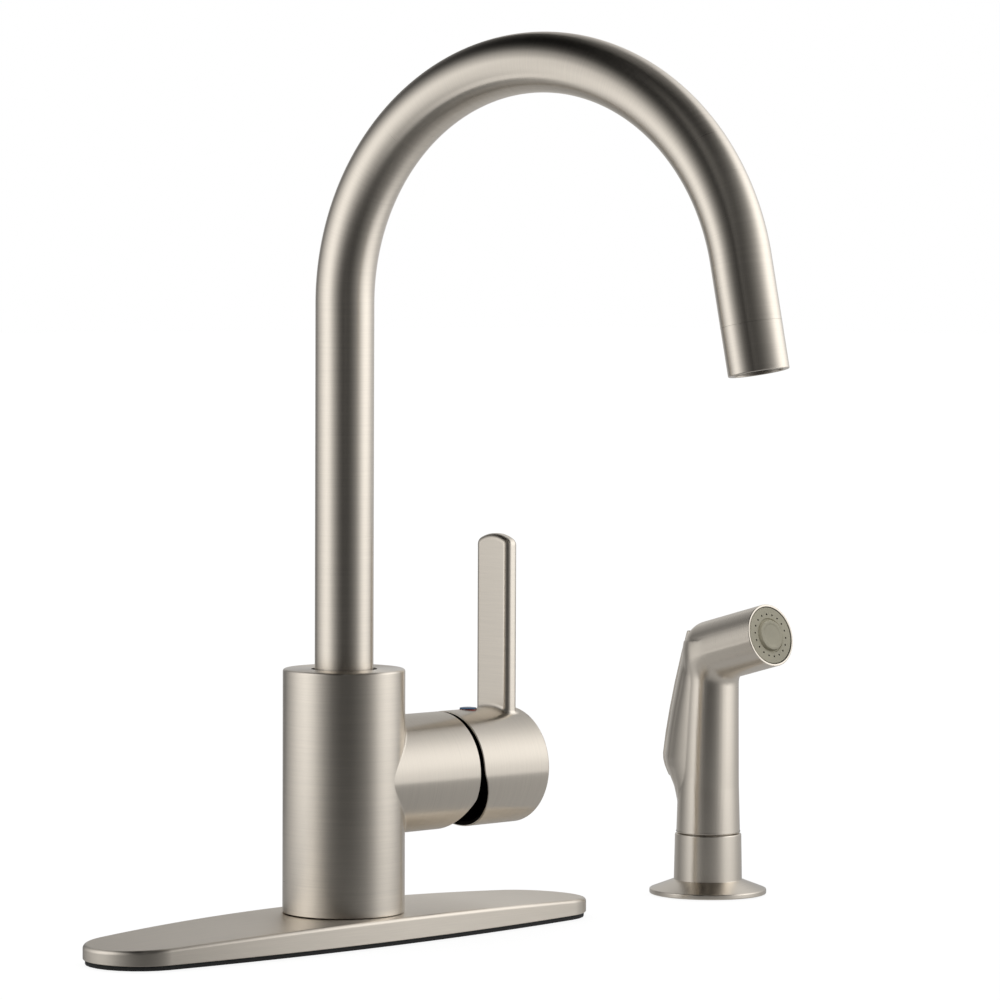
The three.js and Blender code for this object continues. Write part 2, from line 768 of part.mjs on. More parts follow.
function diverterCage() {
  const lid = diverterTop - diverterLid;
  const cage = turned([
    [pistonStem + 0.6, diverterFoot], [spigotRadius, diverterFoot], [spigotRadius, diverterTop],
    [diverterLidBore, diverterTop], [diverterLidBore, lid], [cageBore, lid],
    [cageBore, diverterFoot + diverterBase], [pistonStem + 0.6, diverterFoot + diverterBase],
  ]);
  const windows = [0, 90].map((degrees) => alongX(rod(diverterWindow, -spigotRadius, spigotRadius, 8))
    .rotateZ(THREE.MathUtils.degToRad(degrees)).translate(0, 0, diverterTop - diverterWindowDrop));
  return cut(cage, ...windows);
}

function diverterPiston() {
  const [low, top] = [pistonFoot - pistonStemLength, pistonFoot + pistonThickness];
  return turned([
    [0, low], [pistonStem, low], [pistonStem, pistonFoot], [cageBore - fit, pistonFoot],
    [cageBore - fit, top], [pistonTip, top], [pistonTip, top + pistonTip], [0, top + pistonTip],
  ]);
}

function diverterSpring() {
  const foot = pistonFoot + pistonThickness + fit;
  const radius = cageBore - diverterWire - diverterSpringGap;
  return coil(radius, diverterWire, diverterTurns, foot, springTop);
}

// ---------------------------------------------------------------- aerator, its flow along -Z

function aeratorHousing() {
  const low = -fit - aeratorLength;
  const sleeve = tubeRadius - tubeWall - fit;
  return turned([
    [aeratorLipBore, low], [tubeRadius - aeratorEdge, low], [tubeRadius, low + aeratorEdge],
    [tubeRadius, -fit], [sleeve, -fit], [sleeve, aeratorSleeve],
    [aeratorBore, aeratorSleeve], [aeratorBore, low + aeratorLip], [aeratorLipBore, low + aeratorLip],
  ], spoutSides);
}

function aeratorInsert() {
  const low = -fit - aeratorLength + aeratorLip + fit;
  const outer = aeratorBore - fit;
  const shape = new THREE.Shape(roundPoints(0, 0, outer, round));
  for (const [step, count] of [[0, 1], [1, 6], [2, 12]]) {
    for (const { x, y } of roundPoints(0, 0, step * insertHoleStep, count)) {
      shape.holes.push(new THREE.Path(roundPoints(x, y, insertHoleRadius, 4)));
    }
  }
  const plate = new THREE.ExtrudeGeometry(shape, { depth: insertPlate, bevelEnabled: false });
  const wall = pipe(outer, outer - insertWall, low + insertPlate / 2, low + insertLength);
  return joined(plate.translate(0, 0, low), wall);
}

function aeratorWasher() {
  const low = -aeratorLength + aeratorLip + insertLength + fit;
  const outer = aeratorBore - fit;
  return pipe(outer, outer - washerWidth, low, low + washerThickness);
}

// ---------------------------------------------------------------- side spray

const holderRim = flangeRadius - flangeRim;

function sprayHolder() {
  return turned([
    [hoseHole, holderGasketDepth], [holderRim, holderGasketDepth], [holderRim, 0],
    [flangeRadius - holderEdge, 0], [flangeRadius, holderEdge],
    [flangeRadius - 0.2 * flangeEdge, flangeEdge], [flangeRadius - flangeSlope, 2 * flangeEdge],
    [collarFootRadius, collarStart], [collarTopRadius, collarTop - holderEdge],
    [collarTopRadius - holderEdge, collarTop],
    [holderBore, collarTop], [holderBore, holderFloor], [hoseHole, holderFloor],
  ], smooth);
}

function holderGasket() {
  return pipe(holderRim - fit, hoseHole, 0, holderGasketDepth - fit);
}

const handsetFoot = collarTop + fit;

// Cross-sections of the handset's grip: height, then place and radius of the front circle, then
// place and radius of the back circle. The lever's fin swells out where the back circle moves away.
const gripSections = [
  [handsetFoot, 0, handsetFootRadius, 0, handsetFootRadius], [41, 0, 13.6, 0, 13.6],
  [44, 0, 13.5, 4.6, 10.6], [47, 0, 13.4, 8.3, 9.2], [51.6, -0.2, 13.2, 12.2, 8.2],
  [59.5, -0.4, 13, 14.3, finRadius], [70.5, -0.7, 12.7, 12.4, finRadius],
  [80.7, -1, 12.4, 10.3, finRadius], [92.6, -1.5, 12, 7.4, finRadius],
  [102.7, -2.1, 11.9, 4.8, finRadius], [109, -2.6, 11.6, 3, finRadius],
];

// The hull of a front circle and a back circle that is no larger, as points round it.
function gripRing([height, frontPlace, frontRadius, backPlace, backRadius]) {
  const apart = Math.max(backPlace - frontPlace, 0.001);
  const tangent = Math.acos(Math.min((frontRadius - backRadius) / apart, 1));
  const points = [];
  const [frontSteps, backSteps] = [16, 7];
  for (let i = 0; i <= frontSteps; i += 1) {
    const angle = Math.PI / 2 + tangent + ((2 * Math.PI - 2 * tangent) * i) / frontSteps;
    points.push(at(frontRadius * Math.cos(angle), frontPlace + frontRadius * Math.sin(angle), height));
  }
  for (let i = 1; i < backSteps; i += 1) {
    const angle = Math.PI / 2 - tangent + (2 * tangent * i) / backSteps;
    points.push(at(backRadius * Math.cos(angle), backPlace + backRadius * Math.sin(angle), height));
  }
  return points;
}

// Turns a piece that stands on Z so that it points along the nose, and moves it to the nose's foot.
function alongNose(geometry) {
  return geometry.rotateX(Math.PI / 2 - noseRise).translate(0, 0, noseHeight);
}

// The thumb lever's outer edge from its top to its tip, as [y, z].
const triggerOuter = [
  [7.6, 115.5], [10.6, 107.1], [15, 92.6], [18.1, 80.7], [20.4, 70.5], [22.1, 60.5], [21.6, 55.5],
];
const triggerTipZ = 53.2;

// How far the lever's outer edge moves in when it is pressed to its stop, at a height.
const pressDepth = (z) => (triggerTravel * (triggerPinZ - z)) / (triggerPinZ - triggerTipZ);

function triggerPocket() {
  const gap = triggerPocketGap;
  const foot = triggerTipZ - triggerPocketFoot;
  const innerWall = triggerPinY - triggerBoss - gap;
  const [, crestZ] = triggerOuter[0];
  const floor = triggerOuter.slice(1)
    .map(([y, z]) => [y - triggerThickness - gap - Math.max(pressDepth(z), 0), z])
    .reverse();
  const shape = new THREE.Shape();
  shape.moveTo(noseReach, foot);
  shape.lineTo(floor[0][0], foot);
  floor.forEach(([y, z]) => shape.lineTo(y, z));
  shape.lineTo(innerWall, triggerOuter[1][1] - gap);
  shape.lineTo(innerWall, crestZ + 4 * gap);
  shape.lineTo(noseReach, crestZ + finRadius);
  return plateYZ(shape, 2 * (triggerHalfWidth + gap));
}

// The lever's outer edge at a height, and its inner edge where the valve stem's head meets it.
function triggerEdgeAt(height) {
  const next = triggerOuter.findIndex(([, z]) => z < height);
  const [[y1, z1], [y2, z2]] = triggerOuter.slice(next - 1, next + 1);
  return y1 + ((y2 - y1) * (z1 - height)) / (z1 - z2);
}

const triggerInnerAtValve = triggerEdgeAt(valveHeight + valveHead - valveHeadBevel) - triggerThickness;

function handset() {
  const grip = lofted(gripSections.map(gripRing));
  const cornerAngles = [0, 30, 60, 90].map((degrees) => THREE.MathUtils.degToRad(degrees));
  const corner = cornerAngles.map((angle) => [
    noseRadius - noseCorner * (1 - Math.sin(angle)), noseCorner * (1 - Math.cos(angle)) - noseBack,
  ]);
  const nose = alongNose(turned([
    [0, -noseBack], ...corner, [noseRadius, noseReach - noseEdge], [noseRadius - noseEdge, noseReach],
    [0, noseReach],
  ], smooth));
  const plug = rod(holderBore - fit, handsetPlugFoot, handsetFoot + 1);
  const seatFloor = noseReach - faceRecess - faceThickness - fit;
  const faceSeat = alongNose(rod(faceRadius + fit, seatFloor, noseReach + 1, smooth));
  const nosePassage = alongNose(rod(noseWater, 0, noseReach));
  const [pinHalf, pinBore] = [triggerPinReach + fit, triggerPinRadius + pinClearance];
  const pinHole = alongX(rod(pinBore, -pinHalf, pinHalf, fine)).translate(0, triggerPinY, triggerPinZ);
  const valveBores = [
    rod(valveStemRadius + 0.2, -valveStemRadius, valvePocketFloor + 1, fine),
    rod(valveHead + 0.5, valvePocketFloor, noseReach, fine),
  ].map((bore) => alongY(bore).translate(0, 0, valveHeight));
  return cut(
    joined(grip, nose, plug), faceSeat, nosePassage, triggerPocket(), pinHole, ...valveBores,
    rod(handsetSocket, 0, handsetSocketTop), rod(handsetWater, handsetSocketTop - 1, noseHeight, fine),
  );
}

function sprayFace() {
  const back = noseReach - faceRecess - faceThickness;
  const front = back + faceThickness;
  const shape = new THREE.Shape(roundPoints(0, 0, faceRadius, smooth));
  for (let i = 0; i < faceHoles; i += 1) {
    const angle = (2 * Math.PI * (i + 0.5)) / faceHoles;
    const [x, y] = [faceHoleCircle * Math.cos(angle), faceHoleCircle * Math.sin(angle)];
    shape.holes.push(new THREE.Path(roundPoints(x, y, faceHoleRadius, 4)));
  }
  const plate = new THREE.ExtrudeGeometry(shape, { depth: faceThickness, bevelEnabled: false });
  const [foot, top] = [front - 1, front + faceButtonHeight];
  const button = turned([
    [0, foot], [faceButtonRadius, foot], [faceButtonRadius, front], [faceButtonTop, top], [0, top],
  ], smooth);
  return alongNose(joined(plate.translate(0, 0, back), button));
}

function hoseCoupling() {
  const low = handsetPlugFoot + 1;
  const [step, high] = [low + couplingStep, low + couplingLength];
  const outer = handsetSocket - fit;
  return turned([
    [couplingBore, low], [outer - 1, low], [outer - 1, step], [outer, step], [outer, high],
    [couplingBore, high],
  ]);
}

function trigger() {
  const [tipY] = triggerOuter.at(-1);
  const inner = triggerOuter.slice(1, -1).reverse().map(([y, z]) => [y - triggerThickness, z]);
  const outline = [
    ...triggerOuter, [tipY - 0.8, triggerTipZ], [tipY - triggerThickness, triggerTipZ], ...inner,
    [triggerPinY - triggerBoss, triggerPinZ - 1], [triggerPinY - triggerBoss, triggerPinZ + 1.5],
    [triggerPinY - 0.8, triggerPinZ + 4],
  ];
  const shape = new THREE.Shape(outline.map(([y, z]) => new THREE.Vector2(y, z)));
  const blade = plateYZ(shape, 2 * triggerHalfWidth, triggerEdge);
  const hole = alongX(rod(triggerPinRadius + pinClearance, -triggerPinReach, triggerPinReach, fine));
  return cut(blade, hole.translate(0, triggerPinY, triggerPinZ));
}

function triggerPin() {
  return alongX(rod(triggerPinRadius, -triggerPinReach, triggerPinReach, fine))
    .translate(0, triggerPinY, triggerPinZ);
}

function valveStem() {
  const headEnd = triggerInnerAtValve - fit;
  const headStart = headEnd - valveHeadThickness;
  const [low, high] = [valveRingPlace - valveRingWire - fit, valveRingPlace + valveRingWire + fit];
  const grooveRadius = valveStemRadius - valveRingGroove;
  return alongY(turned([
    [0, valveStemRadius], [valveStemRadius, valveStemRadius], [valveStemRadius, low], [grooveRadius, low],
    [grooveRadius, high], [valveStemRadius, high], [valveStemRadius, headStart], [valveHead, headStart],
    [valveHead, headEnd - valveHeadBevel / 2], [valveHead - valveHeadBevel, headEnd], [0, headEnd],
  ], fine)).translate(0, 0, valveHeight);
}

function valveRing() {
  const seal = closed(new THREE.TorusGeometry(valveStemRadius - 0.25, valveRingWire, 6, fine));
  return alongY(seal.translate(0, 0, valveRingPlace)).translate(0, 0, valveHeight);
}

function valveSpring() {
  const high = triggerInnerAtValve - 2 * fit - valveHeadThickness;
  return alongY(coil(valveHead - 0.4, valveSpringWire, valveSpringTurns, valvePocketFloor + fit, high))
    .translate(0, 0, valveHeight);
}

// ---------------------------------------------------------------- assembly

const faucet = new THREE.Group();

const deck = new THREE.Group();
deck.add(
  piece('deck_plate', deckPlate(), nickel),
  piece('plate_gasket', plateGasket(), blackRubber),
  piece('valve_body', valveBody(), nickel),
  piece('spout_glide_bush', glideBush(), darkPlastic),
  piece('diverter_cage', diverterCage(), whitePlastic),
  piece('diverter_piston', diverterPiston(), brass),
  piece('diverter_spring', diverterSpring(), steel),
);

const valve = new THREE.Group();
valve.position.z = barrelHeight;
valve.add(
  piece('cartridge_seal', portedDisc(cartridgeRadius - 1, cavityStart + fit, sealThickness), blackRubber),
  piece('cartridge_base', portedDisc(cartridgeRadius, baseStart, baseThickness), whitePlastic),
  piece('cartridge_fixed_disc', portedDisc(fixedDiscRadius, discStart, discThickness), ceramic),
  piece('cartridge_moving_disc', movingDisc(), ceramic),
  piece('disc_driver', discDriver(), whitePlastic),
  piece('cartridge_carrier', cartridgeCarrier(), whitePlastic),
  piece('cartridge_housing', cartridgeHousing(), whitePlastic),
  piece('stem_pin', stemPin(), steel),
  piece('cartridge_stem', cartridgeStem(), brass),
  piece('bonnet_nut', bonnetNut(), darkPlastic),
  piece('handle', handle(), nickel),
  piece('handle_set_screw', setScrew(), steel),
  piece('indicator_button', indicatorButton(), bluePlastic),
);

const spout = new THREE.Group();
spout.rotation.z = spoutTurn;
const tube = cut(tubeSolid(tubeRadius, 0, spoutSides), tubeSolid(tubeRadius - tubeWall, 5, boreSides));
spout.add(piece('spout_tube', tube, nickel), piece('spout_spigot', spigot(), brass));
spout.add(piece('spout_retaining_clip', retainingClip(), steel));
for (const [name, height] of Object.entries(ringHeights)) {
  const seal = piece(name, ringSeal(spigotRadius - ringRadius + 0.2, ringRadius), blackRubber);
  seal.position.z = height;
  spout.add(seal);
}
const outlet = new THREE.Group();
const outletEnd = bendStation(bendAngle);
outlet.position.copy(outletEnd.centre.addScaledVector(outletEnd.ahead, outletStraight));
outlet.rotation.x = bendAngle - Math.PI;
outlet.add(
  piece('aerator_housing', aeratorHousing(), nickel),
  piece('aerator_insert', aeratorInsert(), darkPlastic),
  piece('aerator_washer', aeratorWasher(), blackRubber),
);
spout.add(outlet);

const spray = new THREE.Group();
spray.position.set(sprayX, sprayY, 0);
spray.add(
  piece('spray_holder', sprayHolder(), nickel),
  piece('spray_holder_gasket', holderGasket(), blackRubber),
  piece('spray_handset', handset(), nickel),
  piece('spray_face', sprayFace(), greyPlastic),
  piece('hose_coupling', hoseCoupling(), brass),
  piece('spray_trigger', trigger(), nickel),
  piece('trigger_pin', triggerPin(), steel),
  piece('spray_valve_stem', valveStem(), brass),
  piece('valve_stem_o_ring', valveRing(), blackRubber),
  piece('spray_valve_spring', valveSpring(), steel),
);

faucet.add(deck, valve, spout, spray);

export default faucet;
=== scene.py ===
"""A side spray kitchen faucet in brushed nickel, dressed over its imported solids."""
import json
import math

import bmesh
import bpy
import numpy as np
from bpy.props import FloatProperty, FloatVectorProperty, IntProperty, PointerProperty
from bpy.types import Operator, Panel, PropertyGroup
from mathutils import Matrix, Vector


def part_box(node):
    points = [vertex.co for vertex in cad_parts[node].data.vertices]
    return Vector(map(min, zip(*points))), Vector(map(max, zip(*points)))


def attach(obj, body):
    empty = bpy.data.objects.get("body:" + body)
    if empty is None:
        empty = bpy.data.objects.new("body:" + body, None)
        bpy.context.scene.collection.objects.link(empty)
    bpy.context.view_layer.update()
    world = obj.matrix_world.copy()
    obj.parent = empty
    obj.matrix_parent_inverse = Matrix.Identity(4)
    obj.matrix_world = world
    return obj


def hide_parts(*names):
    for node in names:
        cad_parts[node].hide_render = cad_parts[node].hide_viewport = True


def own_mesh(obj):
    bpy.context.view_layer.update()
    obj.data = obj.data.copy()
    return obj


bl_info = {
    "name": "Side spray kitchen faucet",
    "version": (1, 0, 0),
    "blender": (4, 5, 0),
    "location": "View3D > Sidebar > Faucet",
    "description": "Builds the looks of a gooseneck kitchen faucet and its side spray",
    "category": "Add Mesh",
}

MM = 0.001
FULL_TURN = 2 * math.pi
QUARTER_TURN = math.pi / 2
# A turned face ends this far from its axis, so that no face has two corners in one place.
MIDDLE = 0.01 * MM
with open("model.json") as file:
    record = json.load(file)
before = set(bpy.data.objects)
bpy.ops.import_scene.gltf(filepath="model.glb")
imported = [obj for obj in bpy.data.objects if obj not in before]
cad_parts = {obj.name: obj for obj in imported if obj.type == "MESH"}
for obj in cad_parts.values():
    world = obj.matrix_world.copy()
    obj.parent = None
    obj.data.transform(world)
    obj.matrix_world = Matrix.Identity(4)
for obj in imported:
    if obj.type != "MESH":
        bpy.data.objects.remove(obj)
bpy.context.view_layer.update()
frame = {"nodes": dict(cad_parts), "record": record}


def size(name, description, millimetres):
    """A length in the panel, with its default in millimetres."""
    default = millimetres * MM
    return FloatProperty(name=name, description=description, default=default, unit="LENGTH", precision=5)


def turning(name, description, radians):
    """An angle in the panel."""
    return FloatProperty(name=name, description=description, default=radians, subtype="ANGLE")


def tint(name, description, colour):
    """A colour in the panel."""
    return FloatVectorProperty(
        name=name, description=description, default=colour, subtype="COLOR", min=0, max=1
    )


# ---------------------------------------------------------------- sizes and colours


class FaucetDeckSizes(PropertyGroup):
    plate_length: size("Plate length", "Deck plate from end to end", 260)
    plate_width: size("Plate width", "Deck plate at its middle", 60.6)
    plate_height: size("Plate height", "Top of the deck plate at its middle", 11)
    end_radius: size("End radius", "Radius of the plate's ends", 23)
    end_drop: size("End drop", "How far the crowned top sinks at the ends", 3.4)
    plate_edge: size("Plate edge", "Rounding of the plate's top edge", 1.6)
    gasket_height: size("Gasket height", "Thickness of the rubber under the plate", 1.6)


class FaucetBodySizes(PropertyGroup):
    radius: size("Body radius", "Radius of the upright body", 25.05)
    height: size("Body height", "Top of the body over the deck", 111)
    edge: size("Body edge", "Rounding of the body's top edge", 1.1)
    pilot_radius: size("Pilot radius", "Radius of the foot that passes the deck plate", 18.6)
    barrel_height: size("Barrel height", "Height of the barrel's axis", 65.7)
    barrel_radius: size("Barrel radius", "Radius of the barrel", 24.35)
    barrel_length: size("Barrel length", "Barrel's front over the body's axis", 54.6)
    barrel_relief: size("Barrel relief", "How far the barrel's lower lip is cut back", 5.2)
    fillet: size("Fillet", "Rounding where the barrel leaves the body", 1.6)
    bore_radius: size("Bore radius", "Bore behind the barrel's lip", 20.8)


class FaucetHandleSizes(PropertyGroup):
    cap_radius: size("Cap radius", "Radius of the handle's cap", 24.4)
    cap_end: size("Cap end", "Cap's end face over the body's axis", 94)
    cap_wall: size("Cap wall", "Thickness of the cap's wall", 2)
    cap_edge: size("Cap edge", "Rounding of the cap's end", 1.4)
    hub_radius: size("Hub radius", "Hub inside the cap", 8.6)
    lever_inner: size("Lever inner face", "Lever's inner face over the body's axis", 82.5)
    lever_thickness: size("Lever thickness", "Lever from its inner to its outer face", 6.6)
    lever_half_width: size("Lever half width", "Half the lever's width", 9.8)
    lever_top: size("Lever top", "Lever's tip over the barrel's axis", 97.6)
    lever_edge: size("Lever edge", "Rounding of the lever's edges", 2.6)
    lever_corner: size("Lever corner", "Rounding of the lever's corners", 3.4)
    lever_arch: size("Lever arch", "Radius of the arch over the lever's tip", 18)
    lever_fillet: size("Lever fillet", "Rounding where the lever leaves the cap", 2)
    button_reach: size("Button reach", "Temperature button over the body's axis", 69.5)
    button_radius: size("Button radius", "Radius of the temperature button", 3.6)


class FaucetSpoutSizes(PropertyGroup):
    turn: turning("Spout turn", "Turn of the spout at rest", math.radians(11.6))
    radius: size("Tube radius", "Radius of the spout's tube", 12)
    wall: size("Tube wall", "Wall of the spout's tube", 1.4)
    foot: size("Tube foot", "Lower end of the tube inside the body", 98)
    bend_start: size("Bend start", "Height at which the bend begins", 260.25)
    bend_radius: size("Bend radius", "Radius of the gooseneck's middle line", 95.95)
    bend_angle: turning("Bend angle", "Angle of the gooseneck", math.radians(169))
    straight: size("Outlet straight", "Straight tube after the bend", 25.2)
    aerator_length: size("Aerator length", "Aerator housing that shows", 18.8)
    aerator_lip: size("Aerator lip", "Radius of the opening in the aerator's lip", 9.6)


class FaucetSpraySizes(PropertyGroup):
    reach: size("Spray reach", "Spray's axis over the body's axis", 216.5)
    offset: size("Spray offset", "Spray's axis behind the body's axis", 2.3)
    flange_radius: size("Flange radius", "Radius of the holder's flange", 25.7)
    cone_top: size("Cone top", "Where the flange's cone meets the collar", 6.2)
    collar_top: size("Collar top", "Top of the holder's collar", 26.5)
    collar_radius: size("Collar radius", "Radius of the collar's top", 14.58)
    nose_height: size("Nose height", "Where the nose's axis meets the grip's", 105.96)
    nose_rise: turning("Nose rise", "Slope of the nose", math.radians(14.8))
    nose_radius: size("Nose radius", "Radius of the spray head", 13.7)
    nose_reach: size("Nose reach", "Spray head in front of the grip's axis", 38.4)
    nose_back: size("Nose back", "Spray head behind the grip's axis", 7.5)
    nose_corner: size("Nose corner", "Rounding of the elbow's outside", 9.7)
    face_radius: size("Face radius", "Radius of the spray face", 12.4)
    face_holes: IntProperty(
        name="Face holes", description="Holes round the spray face", default=18, min=6, max=40
    )
    lever_half_width: size("Lever half width", "Half the thumb lever's width", 6.3)
    lever_thickness: size("Lever thickness", "Thickness of the thumb lever", 2.4)


class FaucetFinishes(PropertyGroup):
    nickel: tint("Nickel", "Satin nickel of the parts that show", (0.755, 0.695, 0.611))
    rubber: tint("Rubber", "Black rubber of gaskets and seals", (0.012, 0.011, 0.010))
    face: tint("Spray face", "Grey moulded plastic of the spray face", (0.46, 0.43, 0.325))
    cold: tint("Cold mark", "Blue of the temperature button", (0.012, 0.085, 0.20))
    hot: tint("Hot mark", "Red line at the button's edge", (0.30, 0.03, 0.02))
    # Painted shade: a near-black colour for hollows where shade falls, inside the cap, the tube, the body's
    # mouth and bore, and the holes.
    inside: tint("Inside", "Dark bare inside of the cap", (0.010, 0.008, 0.006))
    brass: tint("Brass", "Machined brass", (0.62, 0.44, 0.20))
    steel: tint("Steel", "Bright drawn steel", (0.56, 0.56, 0.55))
    dark_plastic: tint("Dark plastic", "Dark moulded plastic", (0.016, 0.015, 0.014))
    white_plastic: tint("White plastic", "White moulded plastic", (0.72, 0.70, 0.65))
    ceramic: tint("Ceramic", "Lapped ceramic of the discs", (0.86, 0.84, 0.79))


class FaucetStudio(PropertyGroup):
    yaw: turning("Yaw", "Camera's turn from straight ahead", 0.7588)
    pitch: turning("Pitch", "Camera's tilt down", 0.0496)
    roll: turning("Roll", "Camera's roll", 0.0038)
    lens: FloatProperty(name="Lens", description="Focal length in millimetres", default=178.852)
    wall_radius: size("Wall radius", "Radius of the light wall", 620)
    wall_shift: size("Wall shift", "How far the light wall stands to the right", 200)
    wall_height: size("Wall height", "Height of the light wall", 1300)
    table_radius: size("Table radius", "Radius of the grey card on the table", 335)
    floor: tint("Floor", "Pale floor", (0.14, 0.14, 0.14))


GROUPS = {
    "faucet_deck": FaucetDeckSizes,
    "faucet_body": FaucetBodySizes,
    "faucet_handle": FaucetHandleSizes,
    "faucet_spout": FaucetSpoutSizes,
    "faucet_spray": FaucetSpraySizes,
    "faucet_finish": FaucetFinishes,
    "faucet_studio": FaucetStudio,
}


# ---------------------------------------------------------------- skins


def length_along(line):
    """How far along a line of points each of them is."""
    return np.concatenate([[0], np.cumsum(np.linalg.norm(np.diff(line, axis=0), axis=1))])


def round_axis(radius, angle, height):
    """Points round the Z axis, by radius, angle and height."""
    return np.stack(np.broadcast_arrays(radius * np.cos(angle), radius * np.sin(angle), height), -1)


def blend(first, last, steps):
    """Rows of values that go evenly from the first to the last."""
    share = np.linspace(0, 1, steps)[:, None]
    return first * (1 - share) + last * share


def ring_rows(ring, height):
    """Rows of one flat ring's points, each row with its own third coordinate."""
    return np.stack(np.broadcast_arrays(ring[:, 0], ring[:, 1], height), -1)


class Skin:
    """Smooth grids of points gathered into one mesh, each with its normals and its brushing."""

    def __init__(self):
        self.points, self.normals, self.across, self.grain = [], [], [], []
        self.faces, self.slots = [], []
        self.count = 0

    def grid(self, points, normals, across, along, slot=0, grain=None):
        """Adds rows by columns of points. Scratches run the way `along` grows."""
        points, normals = np.asarray(points, float), np.asarray(normals, float)
        rows, columns = points.shape[:2]
        across, along = (np.broadcast_to(way, (rows, columns)) for way in (across, along))
        if grain is None:
            grain = np.stack([along, np.zeros_like(along), across], -1)
        index = self.count + np.arange(rows * columns).reshape(rows, columns)
        corners = [index[:-1, :-1], index[:-1, 1:], index[1:, 1:], index[1:, :-1]]
        faces = np.stack(corners, -1).reshape(-1, 4)
        self.points.append(points.reshape(-1, 3))
        self.normals.append(normals.reshape(-1, 3))
        self.across.append(np.stack([across, along], -1).reshape(-1, 2))
        self.grain.append(np.asarray(grain, float).reshape(-1, 3))
        self.faces.append(faces)
        self.slots.append(np.full(len(faces), slot))
        self.count += rows * columns

    def turned(self, segments, place=Matrix(), columns=128, slot=0):
        """Turns profile segments of (radius, height) about the place's Z axis."""
        angle = np.linspace(0, FULL_TURN, columns + 1)
        turn, shift = np.array(place.to_3x3()), np.array(place.translation)
        way = 0.0
        for line, normal in segments:
            step = length_along(line)
            local = round_axis(line[:, :1], angle, line[:, 1:])
            out = round_axis(normal[:, :1], angle, normal[:, 1:])
            across = (way + step)[:, None]
            mean = max(line[:, 0].mean(), 1 * MM)
            grain = round_axis(mean, angle, across)
            self.grid(local @ turn.T + shift, out @ turn.T, across, mean * angle, slot, grain)
            way += step[-1]

    def object(self, name, materials):
        """The finished mesh object, smooth by its own normals."""
        points, normals = np.concatenate(self.points), np.concatenate(self.normals)
        faces, slots = np.concatenate(self.faces), np.concatenate(self.slots)
        a, b, c, d = (points[faces[:, i]] for i in range(4))
        flip = np.einsum("ij,ij->i", np.cross(c - a, d - b), normals[faces].sum(1)) < 0
        faces[flip] = faces[flip][:, ::-1]
        mesh = bpy.data.meshes.new(name)
        mesh.from_pydata(points.tolist(), [], faces.tolist())
        mesh.update()
        brushing(mesh, np.concatenate(self.across)[faces], np.concatenate(self.grain)[faces])
        mesh.polygons.foreach_set("material_index", slots.astype(np.int32))
        smooth(mesh)
        mesh.normals_split_custom_set_from_vertices(normals.tolist())
        return finished(name, mesh, materials)


def smooth(mesh):
    mesh.polygons.foreach_set("use_smooth", np.ones(len(mesh.polygons), bool))


def values(items, name, width=1, kind=np.int32):
    """One property of all the vertices, corners or faces of a mesh."""
    found = np.zeros(len(items) * width, kind)
    items.foreach_get(name, found)
    return found if width == 1 else found.reshape(-1, width)


def brushing(mesh, across, grain):
    """Stores, for each face corner, the way of the scratches and their place."""
    layer = mesh.uv_layers.new(name="brushing")
    layer.uv.foreach_set("vector", np.ascontiguousarray(across, np.float32).ravel())
    place = mesh.attributes.new("grain", "FLOAT_VECTOR", "CORNER")
    place.data.foreach_set("vector", np.ascontiguousarray(grain, np.float32).ravel())


def finished(name, mesh, materials=()):
    """An object in the scene, with its mesh and materials."""
    piece = bpy.data.objects.new(name, mesh)
    bpy.context.scene.collection.objects.link(piece)
    for material in materials:
        mesh.materials.append(material)
    return piece


def profile(*corners, turn_step=12):
    """Straight segments and arcs of a profile of (radius, height, rounding), outside on the right."""
    corners = [(*corner, 0)[:3] for corner in corners]
    points = np.array([corner[:2] for corner in corners], float)
    segments, start = [], points[0]
    for i in range(1, len(points)):
        before = (points[i] - points[i - 1]) / np.linalg.norm(points[i] - points[i - 1])
        outward = np.array([before[1], -before[0]])
        if i == len(points) - 1 or not corners[i][2]:
            segments.append((np.array([start, points[i]]), np.array([outward, outward])))
            start = points[i]
            continue
        after = (points[i + 1] - points[i]) / np.linalg.norm(points[i + 1] - points[i])
        bend = math.atan2(before[0] * after[1] - before[1] * after[0], before @ after)
        radius = corners[i][2]
        back = radius * math.tan(abs(bend) / 2)
        side = 1 if bend > 0 else -1
        centre = points[i] - before * back - side * radius * outward
        sweep = np.linspace(0, bend, max(3, int(abs(math.degrees(bend)) / turn_step) + 2))
        way = np.stack([
            outward[0] * np.cos(sweep) - outward[1] * np.sin(sweep),
            outward[0] * np.sin(sweep) + outward[1] * np.cos(sweep),
        ], -1)
        arc = centre + side * radius * way
        segments.append((np.array([start, arc[0]]), np.array([outward, outward])))
        segments.append((arc, way))
        start = arc[-1]
    return segments


def root_fillet(contour, outward, main_radius, rounding, steps=6):
    """The rounding at the root of a branch on a cylinder, in (across, along the cylinder, out).

    Returns the strip's points and normals, from the branch to the cylinder."""
    middle = contour + rounding * outward
    out = np.sqrt((main_radius + rounding) ** 2 - middle[:, 0] ** 2)
    ball = np.column_stack([middle, out])
    on_branch = np.column_stack([contour, out])
    share = main_radius / (main_radius + rounding)
    on_main = ball * [share, 1, share]
    first, last = (on_branch - ball) / rounding, (on_main - ball) / rounding
    between = np.arccos(np.clip(np.einsum("ij,ij->i", first, last), -1, 1))[:, None]
    ways = np.array([
        (np.sin((1 - t) * between) * first + np.sin(t * between) * last) / np.sin(between)
        for t in np.linspace(0, 1, steps + 1)
    ])
    return ball + rounding * ways, -ways


